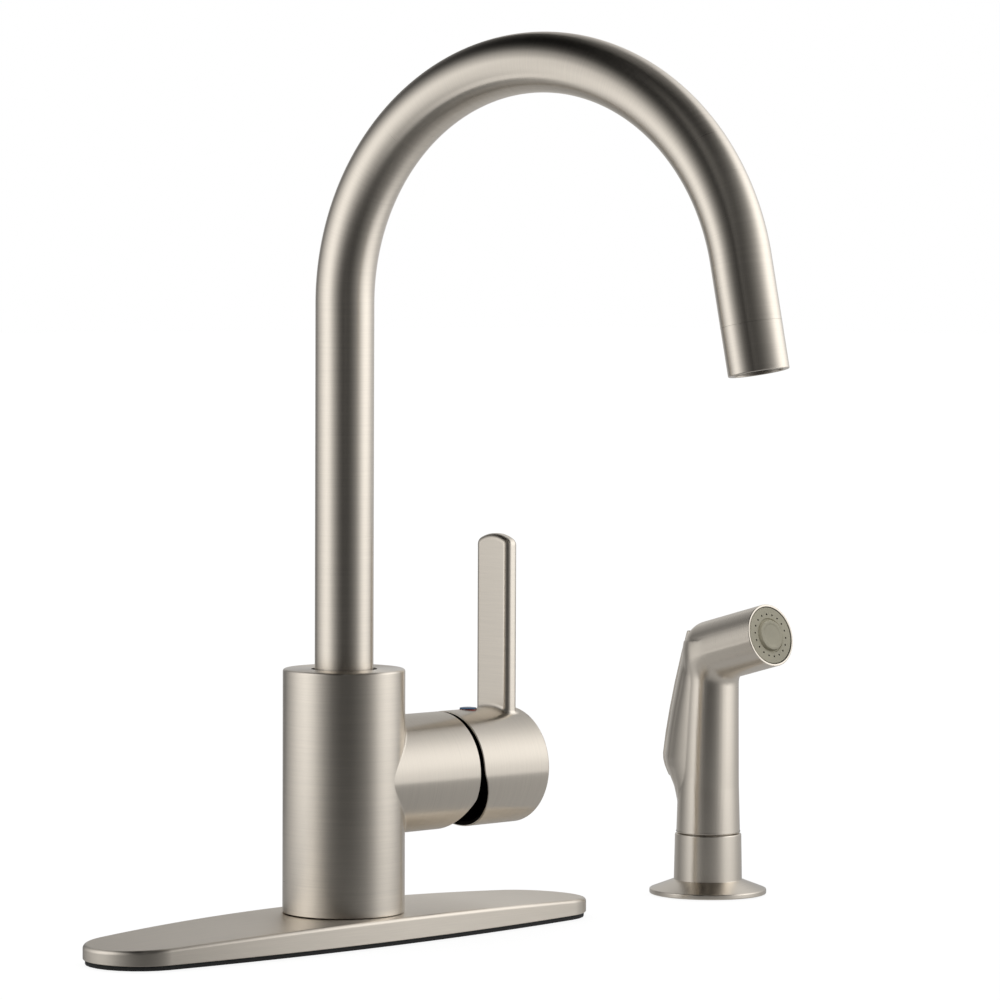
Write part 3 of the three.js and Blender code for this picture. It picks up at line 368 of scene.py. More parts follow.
def holed_window(hole, low, high, rings=10, ease=1.5):
    """Rows of points from a hole's edge out to a window, all in two flat coordinates."""
    low, high = np.asarray(low, float), np.asarray(high, float)
    middle, half = (low + high) / 2, (high - low) / 2
    way = (hole - middle) / half
    square = way / np.abs(way).max(1, keepdims=True)
    for corner in ((-1, -1), (-1, 1), (1, -1), (1, 1)):
        away = np.linalg.norm(square - corner, axis=1)
        square[away < away.min() + 1e-9] = corner
    edge = middle + half * square
    share = np.linspace(0, 1, rings + 1)[:, None, None] ** ease
    return hole * (1 - share) + edge * share


def net(field, low, high, cell):
    """The zero surface of a distance field, as points and quads."""
    axes = [np.arange(a, b + cell, cell) for a, b in zip(low, high)]
    value = field(np.stack(np.meshgrid(*axes, indexing="ij"), -1))
    inside = value < 0
    corner = np.array([(i, j, k) for i in (0, 1) for j in (0, 1) for k in (0, 1)])
    edges = [(a, b) for a in range(8) for b in range(a + 1, 8) if abs(corner[a] - corner[b]).sum() == 1]
    shape = np.array(value.shape) - 1
    filled = np.zeros(shape, int)
    for i, j, k in corner:
        filled += inside[i : i + shape[0], j : j + shape[1], k : k + shape[2]]
    cells = np.argwhere((filled > 0) & (filled < 8))
    number = -np.ones(shape, int)
    number[tuple(cells.T)] = np.arange(len(cells))
    total, hits = np.zeros((len(cells), 3)), np.zeros((len(cells), 1))
    for a, b in edges:
        first, last = cells + corner[a], cells + corner[b]
        va, vb = value[tuple(first.T)], value[tuple(last.T)]
        crossed = (va < 0) != (vb < 0)
        t = np.where(crossed, va / np.where(crossed, va - vb, 1), 0)[:, None]
        total += np.where(crossed[:, None], first + t * (last - first), 0)
        hits += crossed[:, None]
    points = np.array([axis[0] for axis in axes]) + total / hits * cell
    for _ in range(4):
        way = slope(field, points)
        points -= field(points)[:, None] * way / np.maximum((way**2).sum(1, keepdims=True), 0.2)
    faces, steps = [], np.eye(3, dtype=int)
    for axis in range(3):
        u, v = [i for i in range(3) if i != axis]
        start = np.argwhere(np.diff(inside, axis=axis))
        keep = (start[:, u] > 0) & (start[:, v] > 0) & (start[:, u] < shape[u]) & (start[:, v] < shape[v])
        start = start[keep]
        ring = [start, start - steps[u], start - steps[u] - steps[v], start - steps[v]]
        quad = np.stack([number[tuple(r.T)] for r in ring], -1)
        faces.append(quad[(quad >= 0).all(1)])
    return points, np.concatenate(faces)


def slope(field, points, step=0.02 * MM):
    """The gradient of a field at some points."""
    way = np.zeros_like(points)
    for axis in range(3):
        nudge = np.zeros(3)
        nudge[axis] = step
        way[:, axis] = (field(points + nudge) - field(points - nudge)) / (2 * step)
    return way


def soft_union(a, b, radius):
    """Two distances joined with a rounding in the corner between them."""
    near = np.maximum(radius - np.abs(a - b), 0) / radius
    return np.minimum(a, b) - near**2 * radius / 4


# ---------------------------------------------------------------- finishes


class Nodes:
    """A node tree, built from left to right."""

    def __init__(self, owner, output="OutputMaterial"):
        owner.use_nodes = True
        self.owner, self.tree = owner, owner.node_tree
        self.tree.nodes.clear()
        self.output = self.add(output)

    def add(self, kind, inputs=None, **settings):
        node = self.tree.nodes.new("ShaderNode" + kind)
        for key, value in settings.items():
            setattr(node, key, value)
        for key, value in (inputs or {}).items():
            if isinstance(value, bpy.types.NodeSocket):
                self.tree.links.new(value, node.inputs[key])
            else:
                node.inputs[key].default_value = value
        return node

    def maths(self, operation, *terms):
        return self.add("Math", dict(enumerate(terms)), operation=operation).outputs[0]

    def spread(self, value, low, high, start=0.3, end=0.7):
        """A value brought from one range to another. Without a start and an end, the value is noise."""
        inputs = {"Value": value, "From Min": start, "From Max": end, "To Min": low, "To Max": high}
        return self.add("MapRange", inputs).outputs[0]

    def shaded(self, colour, factor):
        """A colour made lighter and darker by a factor round one."""
        return self.add("VectorMath", {0: (*colour,)[:3], "Scale": factor}, operation="SCALE").outputs[0]

    def seen_directly(self):
        """One where the camera looks, also by way of metal or glass."""
        path = self.add("LightPath")
        seen = self.maths("MAXIMUM", path.outputs["Is Camera Ray"], path.outputs["Is Glossy Ray"])
        return self.maths("MAXIMUM", seen, path.outputs["Is Transmission Ray"])

    def end(self, shader):
        """Joins the last shader to the output. Returns the material or world."""
        self.tree.links.new(shader.outputs[0], self.output.inputs[0])
        return self.owner


def new_material(name):
    return Nodes(bpy.data.materials.new(name))


def noise(nodes, place, scale, detail=2.0):
    mapped = nodes.add("Mapping", {"Vector": place, "Scale": scale}).outputs[0]
    return nodes.add("TexNoise", {"Vector": mapped, "Scale": 1.0, "Detail": detail}).outputs[0]


def satin(name, colour, roughness=0.30, anisotropy=0.88, fineness=1.0, streak=0.05, relief=0.06):
    """Metal brushed round or along: fine scratches, longer streaks and a little cloudiness."""
    nodes = new_material(name)
    grain = nodes.add("Attribute", attribute_name="grain").outputs["Vector"]
    hair = noise(nodes, grain, (60, 60, 2600 * fineness))
    band = noise(nodes, grain, (16, 16, 620 * fineness))
    cloud = noise(nodes, nodes.add("TexCoord").outputs["Object"], (9, 9, 9), 3.0)
    mixed = nodes.maths("ADD", nodes.maths("MULTIPLY", hair, 0.55), nodes.maths("MULTIPLY", band, 0.45))
    tone = nodes.spread(mixed, 1 - streak, 1 + streak)
    tone = nodes.maths("MULTIPLY", tone, nodes.spread(cloud, 0.985, 1.015))
    patchy = nodes.spread(mixed, roughness - streak / 2, roughness + streak / 2)
    rough = nodes.maths("ADD", patchy, nodes.spread(cloud, -0.01, 0.01))
    bump = nodes.add("Bump", {"Height": mixed, "Strength": relief, "Distance": 0.00006}).outputs[0]
    tangent = nodes.add("Tangent", direction_type="UV_MAP", uv_map="brushing").outputs[0]
    shader = nodes.add("BsdfPrincipled", {
        "Base Color": nodes.shaded(colour, tone), "Roughness": rough, "Normal": bump, "Tangent": tangent,
        "Metallic": 1.0, "Anisotropic": anisotropy,
    })
    return nodes.end(shader)


def turned_metal(name, colour, roughness=0.32):
    """Machined metal with fine tool marks, for pieces inside."""
    nodes = new_material(name)
    place = nodes.add("TexCoord").outputs["Object"]
    marks = noise(nodes, place, (900, 900, 3200))
    cloud = noise(nodes, place, (120, 120, 120), 3.0)
    bump = nodes.add("Bump", {"Height": marks, "Strength": 0.12, "Distance": 0.00005}).outputs[0]
    shader = nodes.add("BsdfPrincipled", {
        "Base Color": nodes.shaded(colour, nodes.spread(cloud, 0.9, 1.08)), "Metallic": 1.0, "Normal": bump,
        "Roughness": nodes.spread(marks, roughness - 0.06, roughness + 0.08),
    })
    return nodes.end(shader)


def moulded(name, colour, roughness=0.45, grainy=0.15, specular=0.5):
    """Moulded plastic, rubber or ceramic: fine surface grain, slight mottling."""
    nodes = new_material(name)
    place = nodes.add("TexCoord").outputs["Object"]
    skin = noise(nodes, place, (2600, 2600, 2600))
    cloud = noise(nodes, place, (90, 90, 90), 3.0)
    bump = nodes.add("Bump", {"Height": skin, "Strength": grainy, "Distance": 0.00008}).outputs[0]
    shader = nodes.add("BsdfPrincipled", {
        "Base Color": nodes.shaded(colour, nodes.spread(cloud, 0.93, 1.06)),
        "Roughness": nodes.spread(skin, roughness - 0.04, roughness + 0.05), "Normal": bump,
        "Specular IOR Level": specular,
    })
    return nodes.end(shader)


# Each finish by name: its maker, its colour in the panel and its settings.
FINISHES = {
    "satin_nickel": (satin, "nickel", {}),
    "satin_plate": (satin, "nickel", {"roughness": 0.34, "anisotropy": 0.8, "fineness": 0.8, "streak": 0.04}),
    "satin_spray": (satin, "nickel", {
        "roughness": 0.28, "anisotropy": 0.85, "fineness": 2, "streak": 0.015, "relief": 0.02,
    }),
    "black_rubber": (moulded, "rubber", {"roughness": 0.62, "grainy": 0.25, "specular": 0.3}),
    "spray_face_plastic": (moulded, "face", {"roughness": 0.5, "grainy": 0.2, "specular": 0.35}),
    "cold_blue": (moulded, "cold", {"roughness": 0.3, "grainy": 0.05}),
    "hot_red": (moulded, "hot", {"roughness": 0.3, "grainy": 0.05}),
    # Painted shade for the hollows: a near-black moulded finish.
    "cap_inside": (moulded, "inside", {"roughness": 0.7, "grainy": 0.3, "specular": 0.15}),
    "machined_brass": (turned_metal, "brass", {}),
    "drawn_steel": (turned_metal, "steel", {"roughness": 0.28}),
    "dark_plastic": (moulded, "dark_plastic", {"roughness": 0.5}),
    "white_plastic": (moulded, "white_plastic", {"roughness": 0.42}),
    "lapped_ceramic": (moulded, "ceramic", {"roughness": 0.2, "grainy": 0.04}),
}


def finishes(scene, *names):
    """Named finishes of this faucet, each made once."""
    found = []
    for name in names:
        maker, colour, settings = FINISHES[name]
        made = bpy.data.materials.get(name)
        found.append(made or maker(name, getattr(scene.faucet_finish, colour), **settings))
    return found


def fit_piece(piece, body, slot, *nodes):
    """Names the body that carries a piece and hides the solids it stands for. The slot is not used."""
    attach(piece, body)
    if nodes:
        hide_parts(*nodes)


# ---------------------------------------------------------------- operators

# How bright the studio's wall is at some angles in degrees, from the camera's side to the right.
ROUND_THE_WALL = (
    (-180, 0.42), (-160, 0.30), (-145, 0.14), (-131, 0.25), (-107, 0.56), (-90, 0.84), (-73, 1.00),
    (-59, 0.83), (-45, 0.47), (-33, 0.25), (-20, 0.10), (0, 0.03), (14, 0.06), (28, 0.12), (41, 0.22),
    (54, 0.44), (68, 0.78), (84, 0.91), (101, 0.76), (123, 0.42), (150, 0.32), (180, 0.42),
)
# How bright its left and right lights are at some shares of its height.
UP_THE_LEFT = ((0, 0.75), (0.15, 0.95), (0.33, 1), (0.42, 0.6), (0.6, 0.12), (0.75, 0.02), (1, 0))
UP_THE_RIGHT = (
    (0, 0.66), (0.06, 0.70), (0.2, 0.92), (0.33, 1), (0.45, 0.96), (0.56, 0.82), (0.67, 0.62), (0.85, 0.4),
    (1, 0.1),
)
CAMERA_PLACE = (-1.34677, -1.51261, 0.28063)
WHITE = (1, 1, 1, 1)


class FAUCET_OT_stage(Operator):
    """Sets the camera, the light wall, the grey table card and the white floor"""

    bl_idname = "faucet.stage"
    bl_label = "Studio"

    def execute(self, context):
        scene, studio = context.scene, context.scene.faucet_studio
        scene.view_settings.view_transform = "Standard"
        self.camera(scene, studio)
        self.world(scene)
        self.light_wall(studio)
        self.table_card(studio)
        self.floor(studio)
        return {"FINISHED"}

    def camera(self, scene, studio):
        yaw, pitch = studio.yaw, studio.pitch
        ahead = Vector((math.sin(yaw) * math.cos(pitch), math.cos(yaw) * math.cos(pitch), -math.sin(pitch)))
        level = Vector((math.cos(yaw), -math.sin(yaw), 0))
        up = level.cross(ahead)
        right = math.cos(studio.roll) * level + math.sin(studio.roll) * up
        top = -math.sin(studio.roll) * level + math.cos(studio.roll) * up
        lens = bpy.data.cameras.new("camera")
        lens.lens, lens.sensor_width = studio.lens, 36
        lens.clip_start, lens.clip_end = 0.05, 50
        camera = bpy.data.objects.new("camera", lens)
        turned = Matrix((right, top, -ahead)).transposed().to_4x4()
        camera.matrix_world = Matrix.Translation(CAMERA_PLACE) @ turned
        scene.collection.objects.link(camera)
        scene.camera = camera

    def world(self, scene):
        """A room that lights a little less than it shows."""
        nodes = Nodes(bpy.data.worlds.new("white_room"), "OutputWorld")
        room = nodes.add("Background", {"Color": WHITE, "Strength": 0.9})
        white = nodes.add("Background", {"Color": WHITE, "Strength": 1.0})
        mix = nodes.add("MixShader", {0: nodes.seen_directly(), 1: room.outputs[0], 2: white.outputs[0]})
        scene.world = nodes.end(mix)

    def stand(self, piece, studio):
        """Turns a studio piece that only reflections see to the camera."""
        piece.rotation_euler.z = -studio.yaw
        piece.visible_camera = False
        piece.visible_shadow = False
        piece.visible_diffuse = False

    def light_wall(self, studio):
        """A round wall with two soft lights, dark in front of the camera and behind the faucet."""
        skin = Skin()
        radius, height, columns = studio.wall_radius, studio.wall_height, 96
        shift = Matrix.Translation((studio.wall_shift, 0, -2 * MM))
        skin.turned(profile((radius, height), (radius, 0)), shift, columns)
        skin.turned(profile((10 * MM, height), (radius, height)), shift, columns)
        nodes = new_material("light_wall")
        part = nodes.add("SeparateXYZ", {0: nodes.add("TexCoord").outputs["Object"]})
        x, _, z = part.outputs
        rise = nodes.maths("DIVIDE", z, height)
        left = self.ramp(nodes, rise, UP_THE_LEFT)
        right = nodes.maths("MULTIPLY", self.ramp(nodes, rise, UP_THE_RIGHT), 1.35)
        level = self.either(nodes, nodes.maths("GREATER_THAN", x, 0.0), left, right)
        colour = nodes.maths("MULTIPLY", self.band(nodes, part), level)
        glow = nodes.add("Emission", {"Color": colour, "Strength": 1.37})
        self.stand(skin.object("light_wall", [nodes.end(glow)]), studio)

    def either(self, nodes, choice, first, second):
        return nodes.add("Mix", {"Factor": choice, "A": first, "B": second}, data_type="FLOAT").outputs[0]

    def band(self, nodes, part):
        """The light's level round the wall, by the angle from the camera's side."""
        x, y, z = part.outputs
        lean = nodes.maths("MULTIPLY", nodes.maths("GREATER_THAN", x, 0.0), nodes.maths("MULTIPLY", z, 0.65))
        angle = nodes.maths("SUBTRACT", nodes.maths("ARCTAN2", x, nodes.maths("MULTIPLY", y, -1.0)), lean)
        turn = nodes.maths("FRACT", nodes.maths("ADD", nodes.maths("DIVIDE", angle, FULL_TURN), 1.5))
        return self.ramp(nodes, turn, [((degrees + 180) / 360, level) for degrees, level in ROUND_THE_WALL])

    def ramp(self, nodes, value, stops):
        """A brightness between stops of (place, level)."""
        ramp = nodes.add("ValToRGB", {0: value})
        elements = ramp.color_ramp.elements
        elements.remove(elements[1])
        elements[0].position = stops[0][0]
        for position, level in stops:
            stop = elements[0] if position == stops[0][0] else elements.new(position)
            stop.color = (level, level, level, 1)
        return nodes.add("SeparateColor", {0: ramp.outputs[0]}).outputs[0]

    def table_card(self, studio):
        """A glossy card on the table: grey near the faucet, lit like the wall further out."""
        skin = Skin()
        reach = studio.wall_radius + studio.wall_shift
        skin.turned(profile((reach, 0), (MIDDLE, 0)), Matrix.Translation((0, 0, -0.2 * MM)), 128)
        nodes = new_material("table_card")
        place = nodes.add("TexCoord").outputs["Object"]
        part = nodes.add("SeparateXYZ", {0: place})
        out = nodes.add("VectorMath", {0: place}, operation="LENGTH").outputs["Value"]
        share = nodes.maths("DIVIDE", out, studio.table_radius)
        front = nodes.maths("DIVIDE", part.outputs[1], -studio.table_radius)
        grey = nodes.spread(share, 0.42, 0.46, 0.1, 1.0)
        inner = nodes.maths("MULTIPLY", grey, nodes.spread(front, 1.0, 0.3, -0.1, 0.6))
        outer = nodes.maths("MULTIPLY", self.band(nodes, part), 1.25)
        beyond = nodes.maths("GREATER_THAN", share, 1.0)
        level = self.either(nodes, beyond, inner, outer)
        glow = nodes.add("Emission", {"Color": level, "Strength": 1.0})
        gloss = nodes.add("BsdfGlossy", {"Color": (0.75, 0.75, 0.75, 1), "Roughness": 0.12})
        low_angle = nodes.add("Fresnel", {"IOR": 1.3}).outputs[0]
        inside = nodes.maths("MULTIPLY", low_angle, nodes.maths("SUBTRACT", 1.0, beyond))
        both = nodes.add("MixShader", {0: inside, 1: glow.outputs[0], 2: gloss.outputs[0]})
        piece = skin.object("table_card", [nodes.end(both)])
        piece.location = (80 * MM, -30 * MM, 0)
        self.stand(piece, studio)

    def floor(self, studio):
        half, low = 12.0, -0.5 * MM
        skin = Skin()
        skin.grid([[(-half, y, low), (half, y, low)] for y in (-half, half)], [[(0, 0, 1)] * 2] * 2, 0, 0)
        nodes = new_material("pale_floor")
        cloth = nodes.add("BsdfDiffuse", {"Color": (*studio.floor, 1)})
        colour = nodes.maths("MULTIPLY", nodes.seen_directly(), 0.9)
        glow = nodes.add("Emission", {"Color": colour, "Strength": 1.0})
        both = nodes.add("AddShader", {0: cloth.outputs[0], 1: glow.outputs[0]})
        skin.object("pale_floor", [nodes.end(both)])


def plate_outline(deck, inset, end_steps=24, side_steps=72):
    """Half of the plate's outline, `inset` inside its edge, with its outward directions."""
    half_length, half_width, end = deck.plate_length / 2, deck.plate_width / 2, deck.end_radius
    centre = half_length - end
    side = (centre**2 + half_width**2 - end**2) / (2 * (half_width - end))
    low = half_width - side
    meet = math.atan2(-low, centre)
    turn = np.linspace(0, meet, end_steps + 1)
    first = np.column_stack([centre + (end - inset) * np.cos(turn), (end - inset) * np.sin(turn)])
    sweep = np.linspace(meet, math.pi - meet, side_steps + 1)[1:-1]
    middle = np.column_stack([(side - inset) * np.cos(sweep), low + (side - inset) * np.sin(sweep)])
    points = np.concatenate([first, middle, (first * [-1, 1])[::-1]])
    angles = np.concatenate([turn, sweep, (math.pi - turn)[::-1]])
    return points, np.column_stack([np.cos(angles), np.sin(angles)])


def slab(skin, deck, levels):
    """The plate from [inset, height, outward share, upward share, share of the end drop] levels."""
    rings, normals, rows = [], [], []
    half_length = deck.plate_length / 2
    for inset, height, out, rise, sink in levels:
        half, way = plate_outline(deck, inset)
        full = np.concatenate([half, (half[1:-1] * [1, -1])[::-1], half[:1]])
        ways = np.concatenate([way, (way[1:-1] * [1, -1])[::-1], way[:1]])
        drop = sink * deck.end_drop * (full[:, 0] / half_length) ** 2
        rings.append(np.column_stack([full, height - drop]))
        normals.append(np.column_stack([ways * out, rise + 0 * ways[:, 0]]))
        rows.append(half)
    rings = np.array(rings)
    along = length_along(rings[0][:, :2])
    across = np.array([level[1] - level[0] for level in levels])
    skin.grid(rings, normals, across[:, None], along[None])
    for row, (_, height, _, rise, sink) in ((rows[0], levels[0]), (rows[-1], levels[-1])):
        x = row[:, :1] + np.zeros((1, 9))
        y = row[:, 1:] * np.linspace(-1, 1, 9)
        drop = sink * deck.end_drop * (x / half_length) ** 2
        face = np.stack([x, y, height - drop], -1)
        lean = 2 * sink * deck.end_drop * x / half_length**2
        up = np.stack([lean, 0 * x, 1 + 0 * x], -1) * (1 if rise > 0 else -1)
        skin.grid(face, up, y, x)


class FAUCET_OT_deck(Operator):
    """Builds the crowned deck plate"""

    bl_idname = "faucet.deck"
    bl_label = "Deck plate"

    def execute(self, context):
        deck = context.scene.faucet_deck
        edge, top, chamfer = deck.plate_edge, deck.plate_height, 0.3 * MM
        foot = deck.gasket_height + 0.3 * MM
        levels = [
            (chamfer, foot, 0, -1, 0), (chamfer, foot, 0.7, -0.7, 0), (0, foot + chamfer, 1, 0, 0),
            (0, top - edge, 1, 0, 1),
        ]
        for turn in np.linspace(0, QUARTER_TURN, 9)[1:]:
            inset, height = edge * (1 - math.cos(turn)), top - edge * (1 - math.sin(turn))
            levels.append((inset, height, math.cos(turn), math.sin(turn), 1))
        skin = Skin()
        slab(skin, deck, levels)
        piece = skin.object("crowned_plate", finishes(context.scene, "satin_plate"))
        fit_piece(piece, "base", "nickel", "deck_plate")
        return {"FINISHED"}


def holed_disc(skin, radius, holes, steps=48):
    """A flat round end at Z 0 with round holes, each with a wall and bottom in painted shade."""
    depth = 14 * MM
    turn = np.linspace(0, FULL_TURN, steps, endpoint=False)
    mesh = bmesh.new()
    for x, y, r in [(0, 0, radius), *holes]:
        ring = [mesh.verts.new((x + r * math.cos(a), y + r * math.sin(a), 0)) for a in turn]
        for i in range(steps):
            mesh.edges.new((ring[i - 1], ring[i]))
    bmesh.ops.triangle_fill(mesh, edges=mesh.edges[:], use_beauty=True)
    for face in mesh.faces:
        first, second, third = (vert.co for vert in face.verts)
        quad = np.array([[first, second], [first, third]])
        skin.grid(quad, np.broadcast_to([0, 0, -1.0], quad.shape), quad[..., 1], quad[..., 0])
    mesh.free()
    for x, y, r in holes:
        wall = [(line, -normal) for line, normal in profile((r, depth), (r, 0))]
        for lines in (wall, profile((MIDDLE, depth), (r, depth))):
            skin.turned(lines, Matrix.Translation((x, y, 0)), steps, 1)


class FAUCET_OT_body(Operator):
    """Builds the upright body with the barrel blended into its side"""

    bl_idname = "faucet.body"
    bl_label = "Valve body"

    def execute(self, context):
        scene, body = context.scene, context.scene.faucet_body
        skin, steps = Skin(), 160
        radius, height, axis = body.radius, body.height, body.barrel_height
        foot = scene.faucet_deck.plate_height + 0.3 * MM
        turn = np.linspace(0, FULL_TURN, steps + 1)
        outward = np.column_stack([np.sin(turn), np.cos(turn)])
        contour = body.barrel_radius * outward
        strip, normal = root_fillet(contour, outward, radius, body.fillet)
        self.patch(skin, body, strip, normal, contour)
        self.barrel(skin, body, strip[0][:, 2], contour, outward)
        hole = np.column_stack([np.arctan2(strip[-1][:, 0], strip[-1][:, 2]), strip[-1][:, 1] / radius])
        half_angle, half_height = math.radians(100), 32 * MM
        half = np.array([half_angle, half_height / radius])
        window = holed_window(hole, -half, half)
        self.column(skin, body, window[..., 0], window[..., 1] * radius + axis)
        low, high = axis - half_height, axis + half_height
        behind = np.linspace(half_angle, FULL_TURN - half_angle, 81)
        rise, around = np.meshgrid(np.linspace(low, high, 12), behind, indexing="ij")
        self.column(skin, body, around, rise)
        mouth, mouth_floor = 13.55 * MM, height - 7 * MM
        rims = profile(
            (0, 0), (body.pilot_radius, 0), (body.pilot_radius, foot), (radius, foot, 0.35 * MM),
            (radius, low),
        )
        skin.turned(rims[1:], columns=steps)
        top = profile(
            (radius, high), (radius, height, body.edge), (mouth, height, 0.3 * MM), (mouth, mouth_floor),
            (11 * MM, mouth_floor),
        )
        skin.turned(top[:-2], columns=steps)
        # The mouth's wall and floor take the painted shade.
        skin.turned(top[-2:], columns=steps, slot=1)
        inlets = [(x * MM, y * MM, 3.4 * MM) for x, y in ((12, 8), (12, -8), (-13, 0))]
        holed_disc(skin, body.pilot_radius, inlets)
        piece = skin.object("body_and_barrel", finishes(scene, "satin_nickel", "cap_inside"))
        fit_piece(piece, "base", "nickel", "valve_body")
        return {"FINISHED"}

    def column(self, skin, body, angle, height):
        """A patch of the upright cylinder, by the angle from the barrel and the height."""
        points = round_axis(body.radius, angle, height)
        skin.grid(points, round_axis(1, angle, 0), height, angle * body.radius, grain=points)

    def patch(self, skin, body, local, normals, ring=None, across=None, slot=0):
        """A patch round the barrel, given as (across it, up from its axis, out along it)."""
        order = [2, 0, 1]
        points = local[..., order] + [0, 0, body.barrel_height]
        normals = np.broadcast_to(normals, local.shape)[..., order]
        across = local[..., 2] if across is None else across
        along = np.linspace(0, FULL_TURN, local.shape[1]) * body.barrel_radius
        grain = None if ring is None else ring_rows(ring, across)
        skin.grid(points, normals, across, along, slot, grain)

    def lip(self, body, ring):
        """Where the barrel's front is on a ring: its lower part is cut back."""
        start = 11 * MM
        depth = np.clip(-start - ring[:, 1], 0, None) / (body.barrel_radius - start)
        return body.barrel_length - body.barrel_relief * depth

    def barrel(self, skin, body, root, contour, outward):
        """The barrel from its root to its lip, and the bore behind the lip."""
        edge, bore_floor = 0.8 * MM, 44.4 * MM
        lip = self.lip(body, contour)
        wall = ring_rows(contour, blend(root, lip - edge, 24))
        self.patch(skin, body, wall, np.column_stack([outward, 0 * lip]), contour)
        rows, ways = [], []
        for turn in np.linspace(0, QUARTER_TURN, 7):
            inward = edge * (1 - math.cos(turn))
            rows.append(np.column_stack([contour - outward * inward, lip - edge * (1 - math.sin(turn))]))
            ways.append(np.column_stack([outward * math.cos(turn), math.sin(turn) + 0 * lip]))
        self.patch(skin, body, np.array(rows), np.array(ways), contour)
        bore = outward * body.bore_radius
        inner = np.column_stack([bore, self.lip(body, bore)])
        self.patch(skin, body, np.array([rows[-1], inner]), [0, 0, 1.0], across=np.array([[0], [3 * MM]]))
        deep = np.column_stack([bore, bore_floor + 0 * lip])
        # The deep bore takes the painted shade.
        self.patch(skin, body, np.array([inner, deep]), np.column_stack([-outward, 0 * lip]), slot=1)


# Where the cap's rim is at some heights over the barrel's axis, in mm: its lower half is cut back.
CAP_RIM = (
    (-25, 65.6), (-22.2, 64.4), (-17.7, 62.6), (-12.7, 61.2), (-8.3, 59.9), (-4, 58.4), (-0.5, 56.9),
    (2, 56.5),
)
# The lever stands in a window of the cap's side: half its angle, and where it starts along the barrel.
WINDOW_HALF, WINDOW_START = math.radians(34), 79 * MM


